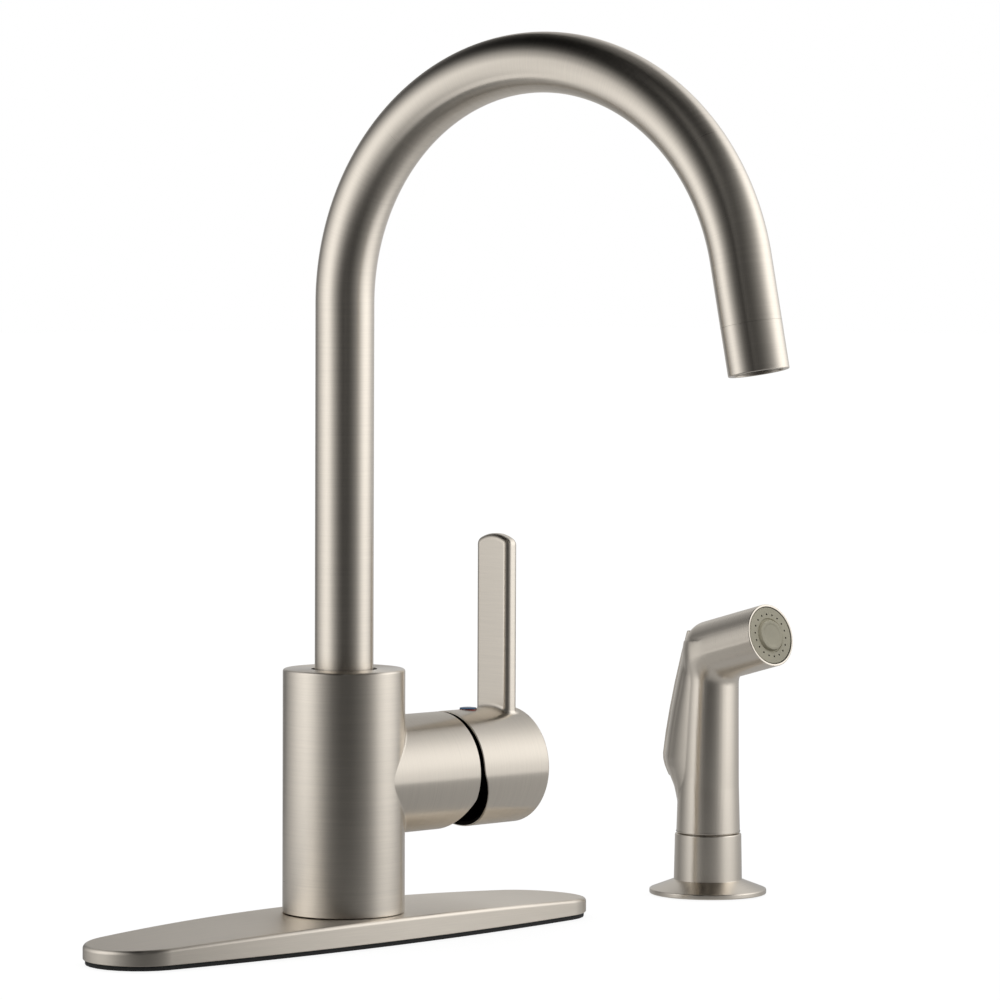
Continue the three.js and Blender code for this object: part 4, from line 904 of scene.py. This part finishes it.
class FAUCET_OT_handle(Operator):
    """Builds the handle's cap, its lever and the temperature button"""

    bl_idname = "faucet.handle"
    bl_label = "Handle"

    def execute(self, context):
        scene, sizes = context.scene, context.scene.faucet_handle
        self.axis = scene.faucet_body.barrel_height
        skin = Skin()
        self.cap(skin, sizes)
        self.lever(skin, sizes)
        piece = skin.object("cap_and_lever", finishes(scene, "satin_nickel", "cap_inside"))
        fit_piece(piece, "lever", "nickel", "handle")
        self.button(scene, sizes)
        return {"FINISHED"}

    def rim(self, rise):
        """Where the cap's rim is at a height over the barrel's axis."""
        heights, reach = np.array(CAP_RIM).T * MM
        return np.interp(rise, heights, reach)

    def wrap(self, angle, along, radius):
        """Points round the barrel's axis: angle from the top towards +Y, place along it, radius."""
        return round_axis(radius, angle, along)[..., [2, 1, 0]] + [0, 0, self.axis]

    def shell(self, skin, angle, along, radius, side=1, slot=0):
        """A patch of a cylinder round the barrel's axis, facing out or, with side -1, in."""
        angle, along = np.broadcast_arrays(angle, along)
        out = round_axis(side, angle, 0)[..., [2, 1, 0]]
        grain = np.stack([radius * np.sin(angle), radius * np.cos(angle), along], -1)
        skin.grid(self.wrap(angle, along, radius), out, along, radius * angle, slot, grain)

    def cap(self, skin, cap):
        """The cap's outside, its rim, its hollow and the hub inside."""
        radius, end, edge, wall = cap.cap_radius, cap.cap_end, cap.cap_edge, cap.cap_wall
        inner, hollow_end, hub_end, lip = radius - wall, end - 3 * MM, 66 * MM, 0.4 * MM
        turn = np.linspace(0, FULL_TURN, 161)
        rim = self.rim(radius * np.cos(turn))
        self.shell(skin, turn, blend(rim + lip, WINDOW_START, 16), radius)
        beside = np.linspace(WINDOW_HALF, FULL_TURN - WINDOW_HALF, 121)
        self.shell(skin, beside, blend(WINDOW_START, end - edge, 16), radius)
        rows, ways = [], []
        for a in np.linspace(0, QUARTER_TURN, 5):
            r, out = radius - lip * (1 - math.cos(a)), math.cos(a)
            rows.append(self.wrap(turn, self.rim(r * np.cos(turn)) + lip * (1 - math.sin(a)), r))
            ways.append(np.column_stack([-math.sin(a) + 0 * turn, out * np.sin(turn), out * np.cos(turn)]))
        skin.grid(rows, ways, np.linspace(0, lip, len(rows))[:, None], radius * turn)
        mouth = self.rim(inner * np.cos(turn)) + wall - lip
        inward = -np.column_stack([1 + 0 * turn, np.sin(turn), np.cos(turn)]) / math.sqrt(2)
        # The cap's inner lip and its hollow take the painted shade.
        skin.grid([rows[-1], self.wrap(turn, mouth, inner)], [inward, inward], 0, radius * turn, 1)
        self.shell(skin, turn, blend(mouth, hollow_end, 16), inner, -1, 1)
        to_x = Matrix.Translation((0, 0, self.axis)) @ Matrix.Rotation(QUARTER_TURN, 4, "Y")
        skin.turned(profile((radius, end - edge), (radius, end, edge), (MIDDLE, end))[1:], to_x, 160)
        hub = profile(
            (inner, hollow_end), (cap.hub_radius, hollow_end, 1 * MM), (cap.hub_radius, hub_end, 0.5 * MM),
            (MIDDLE, hub_end),
        )
        # The hub takes the painted shade.
        skin.turned([(line, -normal) for line, normal in hub], to_x, 64, 1)

    def patch(self, skin, local, normals, across, along):
        """A patch of the lever, given as (across it, along the barrel, up from its axis)."""
        order = [1, 0, 2]
        normals = np.broadcast_to(normals, local.shape)[..., order]
        skin.grid(local[..., order] + [0, 0, self.axis], normals, across, along)

    def lever(self, skin, cap):
        """The lever from its fillet on the cap to its arched tip."""
        contour, outward = self.section(cap)
        strip, normal = root_fillet(contour, outward, cap.cap_radius, cap.lever_fillet)
        around = length_along(contour)
        self.patch(skin, strip, normal, strip[..., 2], around)
        hole = np.column_stack([np.arctan2(strip[-1][:, 0], strip[-1][:, 2]), strip[-1][:, 1]])
        end = cap.cap_end - cap.cap_edge
        window = holed_window(hole, (-WINDOW_HALF, WINDOW_START), (WINDOW_HALF, end), 8)
        self.shell(skin, window[..., 0], window[..., 1], cap.cap_radius)
        rise = blend(strip[0][:, 2], self.tip(skin, cap), 20)
        self.patch(skin, ring_rows(contour, rise), np.column_stack([outward, 0 * around]), rise, around)

    def section(self, cap, steps=8, across=18):
        """The lever's rounded section as (across, along the barrel) and its outward directions."""
        edge, half = cap.lever_edge, cap.lever_half_width - cap.lever_edge
        inner, outer = cap.lever_inner + edge, cap.lever_inner + cap.lever_thickness - edge
        centres = np.array([(half, outer), (half, inner), (-half, inner), (-half, outer)])
        points, ways = [], []
        for i, centre in enumerate(centres):
            sweep = np.radians(np.linspace(90 * i, 90 * i + 90, steps + 1))
            way = np.column_stack([np.sin(sweep), np.cos(sweep)])
            arc = centre + edge * way
            side = blend(arc[-1], centres[(i + 1) % 4] + edge * way[-1], across)[1:-1]
            points += [arc, side]
            ways += [way, np.repeat(way[-1:], across - 2, 0)]
        points, ways = np.concatenate(points), np.concatenate(ways)
        return np.concatenate([points, points[:1]]), np.concatenate([ways, ways[:1]])

    def tip(self, skin, cap):
        """The arched top of the lever. Returns the height at which its rounded corners start."""
        half, edge, corner, arch = cap.lever_half_width, cap.lever_edge, cap.lever_corner, cap.lever_arch
        inner, outer = cap.lever_inner, cap.lever_inner + cap.lever_thickness
        low, span = cap.lever_top - arch, half - corner
        shoulder = low + math.sqrt((arch - corner) ** 2 - span**2)
        meet = math.atan2(shoulder - low, span)
        first, middle = np.linspace(0, meet, 13), np.linspace(meet, QUARTER_TURN, 13)[1:]
        angle = np.concatenate([first, middle])
        radius = np.where(angle <= meet, corner, arch)
        centre = np.where((angle <= meet)[:, None], [span, shoulder], [0, low])
        way = np.column_stack([np.cos(angle), np.sin(angle)])
        line = centre + radius[:, None] * way
        line = np.concatenate([line, (line[:-1] * [-1, 1])[::-1]])
        way = np.concatenate([way, (way[:-1] * [-1, 1])[::-1]])
        rows, ways = [], []
        sweep = np.linspace(0, QUARTER_TURN, 9)
        for x, side, turns in ((inner, -1, sweep[::-1]), (outer, 1, sweep)):
            for a in turns:
                pulled = line - way * edge * (1 - math.cos(a))
                along = x - side * edge * (1 - math.sin(a)) + 0 * way[:, 0]
                out = way * math.cos(a)
                rows.append(np.column_stack([pulled[:, 0], along, pulled[:, 1]]))
                ways.append(np.column_stack([out[:, 0], side * math.sin(a) + 0 * along, out[:, 1]]))
        rows, ways = np.array(rows), np.array(ways)
        across = shoulder + length_along(line)
        self.patch(skin, rows, ways, across, np.linspace(0, cap.lever_thickness, len(rows))[:, None])
        count = len(line) // 2 + 1
        for ring, side in ((rows[0], -1), (rows[-1], 1)):
            y = ring[:count, :1] * np.linspace(-1, 1, 13)
            face = np.stack(np.broadcast_arrays(y, ring[:count, 1:2], ring[:count, 2:]), -1)
            self.patch(skin, face, [0, side, 0.0], face[..., 2], y)
        return shoulder

    def button(self, scene, cap):
        """The temperature button: a blue disc with a thin red line at its edge."""
        skin = Skin()
        top, radius = cap.cap_radius + 0.65 * MM, cap.button_radius
        foot = top - 3 * MM
        place = Matrix.Translation((cap.button_reach, 0, self.axis))
        dome = profile(
            (radius, foot), (radius, top, 0.35 * MM), (0.6 * radius, top + 0.2 * MM, 4 * MM),
            (MIDDLE, top + 0.25 * MM),
        )
        skin.turned(dome[1:], place, 64)
        skin.turned(profile((radius + 0.15 * MM, foot), (radius, top - 0.6 * MM)), place, 64, 1)
        piece = skin.object("temperature_button", finishes(scene, "cold_blue", "hot_red"))
        fit_piece(piece, "lever", "blue_plastic", "indicator_button")


class FAUCET_OT_spout(Operator):
    """Builds the gooseneck tube and the aerator at its end"""

    bl_idname = "faucet.spout"
    bl_label = "Spout"

    def execute(self, context):
        scene, spout = context.scene, context.scene.faucet_spout
        turn = np.array(Matrix.Rotation(spout.turn, 3, "Z"))
        stations = self.stations(spout)
        skin = Skin()
        self.tube(skin, stations, spout.radius, turn)
        # The tube's inside takes the painted shade.
        self.tube(skin, stations, spout.radius - spout.wall, turn, True)
        end, ahead, up = stations[-1]
        local = Matrix((Vector((1, 0, 0)), Vector(up), Vector(ahead))).transposed().to_4x4()
        place = Matrix.Rotation(spout.turn, 4, "Z") @ Matrix.Translation(end) @ local
        skin.turned(profile((spout.radius, 0), (spout.radius - spout.wall, 0)), place, 128)
        piece = skin.object("gooseneck", finishes(scene, "satin_nickel", "cap_inside"))
        fit_piece(piece, "spout", "nickel", "spout_tube")
        self.aerator(scene, spout, place @ Matrix.Rotation(math.pi, 4, "X"))
        return {"FINISHED"}

    def stations(self, spout):
        """Places on the tube's middle line, each with the way ahead and the way up across."""
        radius, start = spout.bend_radius, spout.bend_start
        places = []
        for height in np.linspace(spout.foot, start, 24)[:-1]:
            places.append(((0, 0, height), (0, 0, 1), (0, 1, 0)))
        for a in np.linspace(0, spout.bend_angle, 120):
            centre = (0, -radius * (1 - math.cos(a)), start + radius * math.sin(a))
            places.append((centre, (0, -math.sin(a), math.cos(a)), (0, math.cos(a), math.sin(a))))
        centre, ahead, up = places[-1]
        for reach in np.linspace(0, spout.straight, 6)[1:]:
            places.append((tuple(np.array(centre) + reach * np.array(ahead)), ahead, up))
        return places

    def tube(self, skin, stations, radius, turn, inside=False, columns=128):
        """A round tube along the stations, turned about the body's axis."""
        angle = np.linspace(0, FULL_TURN, columns + 1)
        middle = np.array([centre for centre, _, _ in stations])
        rows, ways = [], []
        for centre, (_, _, up) in zip(middle, stations):
            out = np.cos(angle)[:, None] * [1, 0, 0] + np.sin(angle)[:, None] * np.array(up)
            rows.append((centre + radius * out) @ turn.T)
            ways.append(out @ turn.T * (-1 if inside else 1))
        across = length_along(middle)[:, None]
        grain = round_axis(radius, angle, across)
        skin.grid(rows, ways, across, radius * angle, int(inside), grain)

    def aerator(self, scene, spout, place):
        """The housing below the seam, on a Z axis that points up the tube's end."""
        skin = Skin()
        radius, lip, inner = spout.radius, spout.aerator_lip, spout.radius - spout.wall - 0.3 * MM
        seam, neck = 0.04 * MM, 8 * MM
        low = -spout.aerator_length - 0.3 * MM
        ledge = low + 1.3 * MM
        outer = profile(
            (lip, ledge), (lip, low, 0.3 * MM), (radius, low, 0.45 * MM), (radius, -seam, 0.06 * MM),
            (inner, -seam), (inner, neck),
        )
        skin.turned(outer, place, 128)
        skin.turned(profile((9 * MM, neck), (9 * MM, ledge), (lip, ledge)), place, 96, 1)
        piece = skin.object("aerator_sleeve", finishes(scene, "satin_nickel", "dark_plastic"))
        fit_piece(piece, "spout", "nickel", "aerator_housing")


# The grip by height over the deck: its front's place and radius, then its back's, all in mm.
GRIP = (
    (20, 0, 14.2, 0, 14.2), (40, 0, 13.62, 0.9, 12.9), (44, 0, 13.5, 3.2, 12.1), (47, 0, 13.4, 4.6, 11.8),
    (51.6, -0.2, 13.2, 7.6, 11.6), (55.5, -0.3, 13.1, 9.8, 11.6), (59.5, -0.4, 13, 10.6, 11.6),
    (70.5, -0.7, 12.7, 9, 11.6), (80.7, -1, 12.4, 6.8, 11.6), (92.6, -1.5, 12, 3.9, 11.5),
    (102.7, -2.1, 11.9, 1.4, 11.2), (112, -2.6, 11.6, -1.4, 11),
)
# The thumb lever in mm, as (behind the grip's axis, over the deck): its outer edge from the top down,
# its tip and its head.
LEVER_EDGE = (
    (7.6, 115.5), (10.6, 107.1), (15, 92.6), (18.1, 80.7), (20.4, 70.5), (22.1, 60.5), (21.9, 58), (21, 55.4),
    (19.4, 52.6),
)
LEVER_TIP = ((18.5, 51.3), (17.8, 50.8), (17.2, 51), (17, 51.8))
LEVER_HEAD = ((3, 109.2), (3, 111.7), (4.6, 114.2), (6.4, 115.6))
# The corners of the lever's pocket outside its floor, in the same way.
POCKET_MOUTH = ((2.6, 106.7), (2.6, 117), (40, 125), (40, 49.5))
SHARP_ANGLE = math.radians(38)


class FAUCET_OT_spray(Operator):
    """Builds the deck holder, the hand spray, its face and its thumb lever"""

    bl_idname = "faucet.spray"
    bl_label = "Side spray"

    def execute(self, context):
        scene, spray = context.scene, context.scene.faucet_spray
        self.place = Matrix.Translation((spray.reach, spray.offset, 0))
        rise = Matrix.Translation((0, 0, spray.nose_height))
        self.nose = self.place @ rise @ Matrix.Rotation(QUARTER_TURN - spray.nose_rise, 4, "X")
        self.holder(scene, spray)
        self.handset(scene, spray)
        self.face(scene, spray)
        self.thumb_lever(scene, spray)
        return {"FINISHED"}

    def holder(self, scene, spray):
        """The holder: a flange with a cone on top, and the collar that the handset stands in."""
        skin = Skin()
        flange, top, collar = spray.flange_radius, spray.collar_top, spray.collar_radius
        way_through, floor = 10 * MM, 6.5 * MM
        outer = profile(
            (22.2 * MM, 1 * MM), (22.2 * MM, 0), (flange, 0, 0.6 * MM), (flange, 2.1 * MM, 0.7 * MM),
            (collar + 0.4 * MM, spray.cone_top, 0.3 * MM), (collar, top, 0.6 * MM),
            (12.6 * MM, top, 0.3 * MM), (12.5 * MM, floor), (way_through, floor), (way_through, 1.3 * MM),
        )
        skin.turned(outer, self.place, 128)
        piece = skin.object("spray_rest", finishes(scene, "satin_spray"))
        fit_piece(piece, "base", "nickel", "spray_holder")

    def field(self, spray):
        """The distance to the handset's outside: a grip that swells into a fin, and the nose."""
        heights, front_place, front_radius, back_place, back_radius = np.array(GRIP).T * MM
        rise, radius = spray.nose_rise, spray.nose_radius
        back, corner, reach = spray.nose_back, spray.nose_corner, spray.nose_reach + 6 * MM

        def grip(x, y, z):
            """A front and a back round joined by a flank that bulges a little."""
            y1, r1 = np.interp(z, heights, front_place), np.interp(z, heights, front_radius)
            y2, r2 = np.interp(z, heights, back_place), np.interp(z, heights, back_radius)
            apart = np.maximum(y2 - y1, 1e-6)
            lean = np.clip((r1 - r2) / apart, -0.999, 0.999)
            flat = np.sqrt(1 - lean**2)
            px, py = np.abs(x), y - y1
            side = -lean * px + flat * py
            front = np.hypot(px, py) - r1
            rear = np.hypot(px, py - apart) - r2
            share = np.clip(side / (flat * apart), 0, 1)
            flank = flat * px + lean * py - r1 - 0.2 * flat * apart * share * (1 - share)
            found = np.where(side < 0, front, np.where(side > flat * apart, rear, flank))
            found = np.where((r1 - r2) / apart > 0.99, front, found)
            return np.maximum(found, np.maximum(20 * MM - z, z - 110 * MM))

        def nose(x, y, z):
            """A rod that slopes up to the spray face, with a rounded back end."""
            ahead = -y * math.cos(rise) + (z - spray.nose_height) * math.sin(rise)
            high = y * math.sin(rise) + (z - spray.nose_height) * math.cos(rise)
            ring = np.hypot(x, high)
            out, behind = np.maximum(ring - (radius - corner), 0), np.maximum(-ahead - (back - corner), 0)
            rod = np.where(ahead < corner - back, np.hypot(out, behind) - corner, ring - radius)
            return np.maximum(rod, ahead - reach)

        def distance(points):
            place = points[..., 0], points[..., 1], points[..., 2]
            return soft_union(grip(*place), nose(*place), 3.2 * MM)

        return distance

    def handset(self, scene, spray):
        """The hand spray's shell, with the thumb lever's pocket cut out."""
        low, high = np.array([(-16, -46, 18), (16, 24, 132)]) * MM
        points, faces = net(self.field(spray), low, high, 0.62 * MM)
        foot, limit = spray.collar_top + 1 * MM, spray.nose_reach - 2.2 * MM
        axis = np.array([0, -math.cos(spray.nose_rise), math.sin(spray.nose_rise)])
        reach = (points - [0, 0, spray.nose_height]) @ axis
        points -= np.maximum(reach - limit, 0)[:, None] * axis
        points[:, 2] = np.maximum(points[:, 2], foot)
        mesh = bpy.data.meshes.new("hand_spray")
        mesh.from_pydata(points.tolist(), [], faces.tolist())
        mesh.validate()
        shell, pocket = finished("shell", mesh), self.pocket(spray)
        cutter = shell.modifiers.new("pocket", "BOOLEAN")
        cutter.operation, cutter.solver, cutter.object = "DIFFERENCE", "EXACT", pocket
        cut = self.applied(shell)
        bpy.data.objects.remove(pocket)
        self.brush_handset(cut, spray)
        cut.transform(self.place)
        piece = finished("hand_spray", cut, finishes(scene, "satin_spray"))
        cut.set_sharp_from_angle(angle=SHARP_ANGLE)
        fit_piece(piece, "handset", "nickel", "spray_handset")
        self.ends(scene, spray, limit, foot)

    def applied(self, passing):
        """The mesh that a passing object's modifiers make. The object goes."""
        view = bpy.context.evaluated_depsgraph_get()
        mesh = bpy.data.meshes.new_from_object(passing.evaluated_get(view))
        bpy.data.objects.remove(passing)
        mesh.materials.clear()
        return mesh

    def brush_handset(self, mesh, spray):
        """Scratches run round a line that rises in the grip and bends into the nose."""
        corners = values(mesh.loops, "vertex_index")
        points = values(mesh.vertices, "co", 3, float)[corners]
        centres = values(mesh.polygons, "center", 3, float)
        centres = np.repeat(centres, values(mesh.polygons, "loop_total"), axis=0)
        way, out, across = self.bent_line(spray, points)
        _, centre_out, centre_across = self.bent_line(spray, centres)
        middle = np.arctan2(centre_across, centre_out)
        turn = np.arctan2(across, out) - middle
        turn = middle + (turn + math.pi) % FULL_TURN - math.pi
        uv = np.column_stack([way, turn * spray.nose_radius])
        brushing(mesh, uv, np.column_stack([across, out, way]))
        smooth(mesh)

    def bent_line(self, spray, points):
        """How far along the handset's bent middle line points are, and their place across it."""
        bend, turn = 17 * MM, QUARTER_TURN - spray.nose_rise
        pivot = np.array([-bend, spray.nose_height - bend * math.tan(turn / 2)])
        y, z = points[:, 1] - pivot[0], points[:, 2] - pivot[1]
        angle = np.clip(np.arctan2(z, y), 0, turn)
        radial = y * np.cos(angle) + z * np.sin(angle)
        ahead = z * np.cos(angle) - y * np.sin(angle)
        return bend * angle + ahead, radial - bend, points[:, 0]

    def prism(self, outline, half):
        """A passing object: a closed prism across X from an outline in (y, z)."""
        count = len(outline)
        sides = [np.column_stack([np.full(count, x), outline]) for x in (-half, half)]
        faces = [[i, i + count, (i + 1) % count + count, (i + 1) % count] for i in range(count)]
        faces += [list(range(count)), list(range(count, 2 * count))[::-1]]
        mesh = bpy.data.meshes.new("prism")
        mesh.from_pydata(np.concatenate(sides).tolist(), [], faces)
        mesh.update()
        return finished("prism", mesh)

    def pocket(self, spray):
        """The room that the thumb lever moves in, as a solid to cut away."""
        gap = 0.4 * MM
        pressed, pivot, length = 2.8 * MM, 110.2 * MM, 57 * MM
        edge, mouth = np.array(LEVER_EDGE)[1:] * MM, np.array(POCKET_MOUTH) * MM
        press = np.clip(pressed * (pivot - edge[:, 1]) / length, 0, None)
        floor = np.column_stack([edge[:, 0] - spray.lever_thickness - gap - press, edge[:, 1]])
        tip = np.array([[floor[-1, 0], mouth[-1, 1]]])
        return self.prism(np.concatenate([tip, floor[::-1], mouth]), spray.lever_half_width + gap)

    def ends(self, scene, spray, limit, foot):
        """The rim round the spray face, the ring at the grip's foot and the plug below it."""
        skin = Skin()
        radius, reach = spray.nose_radius, spray.nose_reach
        seat, seat_floor = spray.face_radius + 0.25 * MM, reach - 5 * MM
        rim = profile(
            (radius, limit), (radius, reach, 0.4 * MM), (seat, reach, 0.3 * MM), (seat, seat_floor),
            (MIDDLE, seat_floor),
        )
        skin.turned(rim[:-2], self.nose, 128)
        skin.turned(rim[-2:], self.nose, 96, 1)
        low, outer, plug, bore, bottom = spray.collar_top + 0.3 * MM, 14.02 * MM, 12.2 * MM, 8.5 * MM, 7 * MM
        base = profile(
            (bore, 30 * MM), (bore, bottom, 0.4 * MM), (plug, bottom, 0.6 * MM), (plug, low),
            (outer, low, 0.55 * MM), (outer - 0.02 * MM, foot),
        )
        skin.turned(base, self.place, 128)
        piece = skin.object("hand_spray_ends", finishes(scene, "satin_spray", "dark_plastic"))
        fit_piece(piece, "handset", "nickel")

    def face(self, scene, spray):
        """The spray face with its ring of holes and the raised disc in its middle."""
        skin = Skin()
        front, radius, ring = spray.nose_reach - 0.2 * MM, spray.face_radius, 9.3 * MM
        low, high, hole, groove = 8.2 * MM, 10.4 * MM, 0.42 * MM, front - 0.5 * MM
        button = profile(
            (low, front), (7.6 * MM, front, 0.2 * MM), (7.3 * MM, groove, 0.15 * MM),
            (6.9 * MM, groove, 0.15 * MM), (6.5 * MM, front + 1.1 * MM, 0.5 * MM),
            (5.2 * MM, front + 1.2 * MM, 2 * MM), (4.6 * MM, front + 0.95 * MM, 2 * MM),
            (MIDDLE, front + 0.9 * MM),
        )
        skin.turned(button, self.nose, 96)
        edge = profile((radius, front - 4 * MM), (radius, front, 0.3 * MM), (high, front))
        skin.turned(edge, self.nose, 108)
        sector = FULL_TURN / spray.face_holes
        turn, shift = np.array(self.nose.to_3x3()), np.array(self.nose.translation)
        way = np.linspace(0, FULL_TURN, 25)
        for i in range(spray.face_holes):
            middle = (i + 0.5) * sector
            edge = np.column_stack([hole / ring * np.cos(way), hole * np.sin(way)]) + [middle, ring]
            window = holed_window(edge, (i * sector, low), ((i + 1) * sector, high), 3)
            angle, reach = window[..., 0], window[..., 1]
            flat = round_axis(reach, angle, front)
            skin.grid(flat @ turn.T + shift, np.broadcast_to(turn[:, 2], flat.shape), reach, angle * ring)
            # Each hole's wall and bed take the painted shade.
            well = np.array([flat[0], flat[0] - [0, 0, 1.5 * MM]])
            inward = round_axis(-np.cos(way), middle, 0)
            inward = np.broadcast_to(inward, well.shape) @ turn.T
            skin.grid(well @ turn.T + shift, inward, 0, way * hole, 1)
            bed = np.array([well[1], np.broadcast_to(well[1].mean(0), well[1].shape)])
            skin.grid(bed @ turn.T + shift, np.broadcast_to(turn[:, 2], bed.shape), 0, 0, 1)
        piece = skin.object("spray_plate", finishes(scene, "spray_face_plastic", "cap_inside"))
        fit_piece(piece, "handset", "grey_plastic", "spray_face")

    def thumb_lever(self, scene, spray):
        """The thumb lever: a strip with round edges, a tip below and a head above."""
        edge, tip, head = (np.array(line) * MM for line in (LEVER_EDGE, LEVER_TIP, LEVER_HEAD))
        inner = edge[1:-1][::-1] - [spray.lever_thickness, 0]
        passing = self.prism(np.concatenate([edge, tip, inner, head]), spray.lever_half_width)
        rounding = passing.modifiers.new("edges", "BEVEL")
        rounding.width, rounding.segments = 0.9 * MM, 4
        rounding.limit_method, rounding.angle_limit = "ANGLE", math.radians(50)
        mesh = self.applied(passing)
        points = values(mesh.vertices, "co", 3, float)[values(mesh.loops, "vertex_index")]
        brushing(mesh, points[:, [0, 2]], points[:, [2, 1, 0]])
        smooth(mesh)
        mesh.transform(self.place)
        piece = finished("thumb_lever", mesh, finishes(scene, "satin_spray"))
        mesh.set_sharp_from_angle(angle=SHARP_ANGLE)
        fit_piece(piece, "thumb_lever", "nickel", "spray_trigger")


class FAUCET_OT_springs(Operator):
    """Builds the coil springs"""

    bl_idname = "faucet.springs"
    bl_label = "Springs"

    def execute(self, context):
        upright = Matrix()
        lying = Matrix.Rotation(-QUARTER_TURN, 4, "X")
        wire = 0.5 * MM
        spring = self.coil(context.scene, "diverter_spring", upright, 4, wire)
        fit_piece(spring, "base", "steel", "diverter_spring")
        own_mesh(spring)
        spring = self.coil(context.scene, "spray_valve_spring", lying, 3, 0.4 * MM)
        fit_piece(spring, "handset", "steel", "spray_valve_spring")
        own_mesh(spring)
        return {"FINISHED"}

    def coil(self, scene, node, turned, turns, wire):
        """A coil that fills a node's box, wound round the turned Z axis."""
        low, high = (np.array(corner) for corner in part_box(node))
        way, middle = np.array(turned.to_3x3()), (low + high) / 2
        half = np.abs((high - low) @ way) / 2
        radius, rise = half[0] - wire, half[2] - wire
        share = np.linspace(0, 1, 32 * turns + 1)[:, None]
        angle, section = FULL_TURN * turns * share, np.linspace(0, FULL_TURN, 17)
        height = rise * (2 * share - 1) + wire * np.sin(section)
        local = round_axis(radius + wire * np.cos(section), angle, height)
        out = round_axis(np.cos(section), angle, np.sin(section))
        skin = Skin()
        skin.grid(local @ way.T + middle, out @ way.T, angle * radius, section * wire)
        for end, side in ((0, -1), (-1, 1)):
            rim = local[end] @ way.T + middle
            cap = np.array([rim, np.broadcast_to(rim[:-1].mean(0), rim.shape)])
            along = side * np.array([0.0, 1.0, 0.0]) @ way.T
            skin.grid(cap, np.broadcast_to(along, cap.shape), 0, 0)
        return skin.object(node + "_coil", finishes(scene, "drawn_steel"))


# The finish of each slot in the part's record.
SLOT_FINISHES = {
    "nickel": "satin_nickel",
    "brass": "machined_brass",
    "steel": "drawn_steel",
    "black_rubber": "black_rubber",
    "dark_plastic": "dark_plastic",
    "white_plastic": "white_plastic",
    "grey_plastic": "spray_face_plastic",
    "ceramic": "lapped_ceramic",
    "blue_plastic": "cold_blue",
}


class FAUCET_OT_inner_pieces(Operator):
    """Gives the solids that stay their own finishes"""

    bl_idname = "faucet.inner_pieces"
    bl_label = "Inner pieces"

    def execute(self, context):
        slots = {part["node"]: part["material_slot"] for part in frame["record"]["subparts"]}
        for name, node in frame["nodes"].items():
            (material,) = finishes(context.scene, SLOT_FINISHES[slots[name]])
            if not node.data.materials:
                node.data.materials.append(material)
            for i in range(len(node.material_slots)):
                node.material_slots[i].material = material
        return {"FINISHED"}


class FAUCET_PT_panel(Panel):
    """The faucet's pieces, sizes and colours"""

    bl_idname = "FAUCET_PT_panel"
    bl_label = "Kitchen faucet"
    bl_space_type = "VIEW_3D"
    bl_region_type = "UI"
    bl_category = "Faucet"

    def draw(self, context):
        for operator in OPERATORS:
            self.layout.operator(operator.bl_idname)
        for name, group in GROUPS.items():
            box = self.layout.box()
            for key in group.__annotations__:
                box.prop(getattr(context.scene, name), key)


OPERATORS = (
    FAUCET_OT_stage,
    FAUCET_OT_deck,
    FAUCET_OT_body,
    FAUCET_OT_handle,
    FAUCET_OT_spout,
    FAUCET_OT_spray,
    FAUCET_OT_springs,
    FAUCET_OT_inner_pieces,
)


def register():
    for group in GROUPS.values():
        bpy.utils.register_class(group)
    for name, group in GROUPS.items():
        setattr(bpy.types.Scene, name, PointerProperty(type=group))
    for operator in OPERATORS:
        bpy.utils.register_class(operator)
    bpy.utils.register_class(FAUCET_PT_panel)


def unregister():
    bpy.utils.unregister_class(FAUCET_PT_panel)
    for operator in reversed(OPERATORS):
        bpy.utils.unregister_class(operator)
    for name in GROUPS:
        delattr(bpy.types.Scene, name)
    for group in reversed(list(GROUPS.values())):
        bpy.utils.unregister_class(group)


def main():
    register()
    bpy.ops.faucet.stage()
    bpy.ops.faucet.deck()
    bpy.ops.faucet.body()
    bpy.ops.faucet.handle()
    bpy.ops.faucet.spout()
    bpy.ops.faucet.spray()
    bpy.ops.faucet.springs()
    bpy.ops.faucet.inner_pieces()


if __name__ == "__main__":
    main()
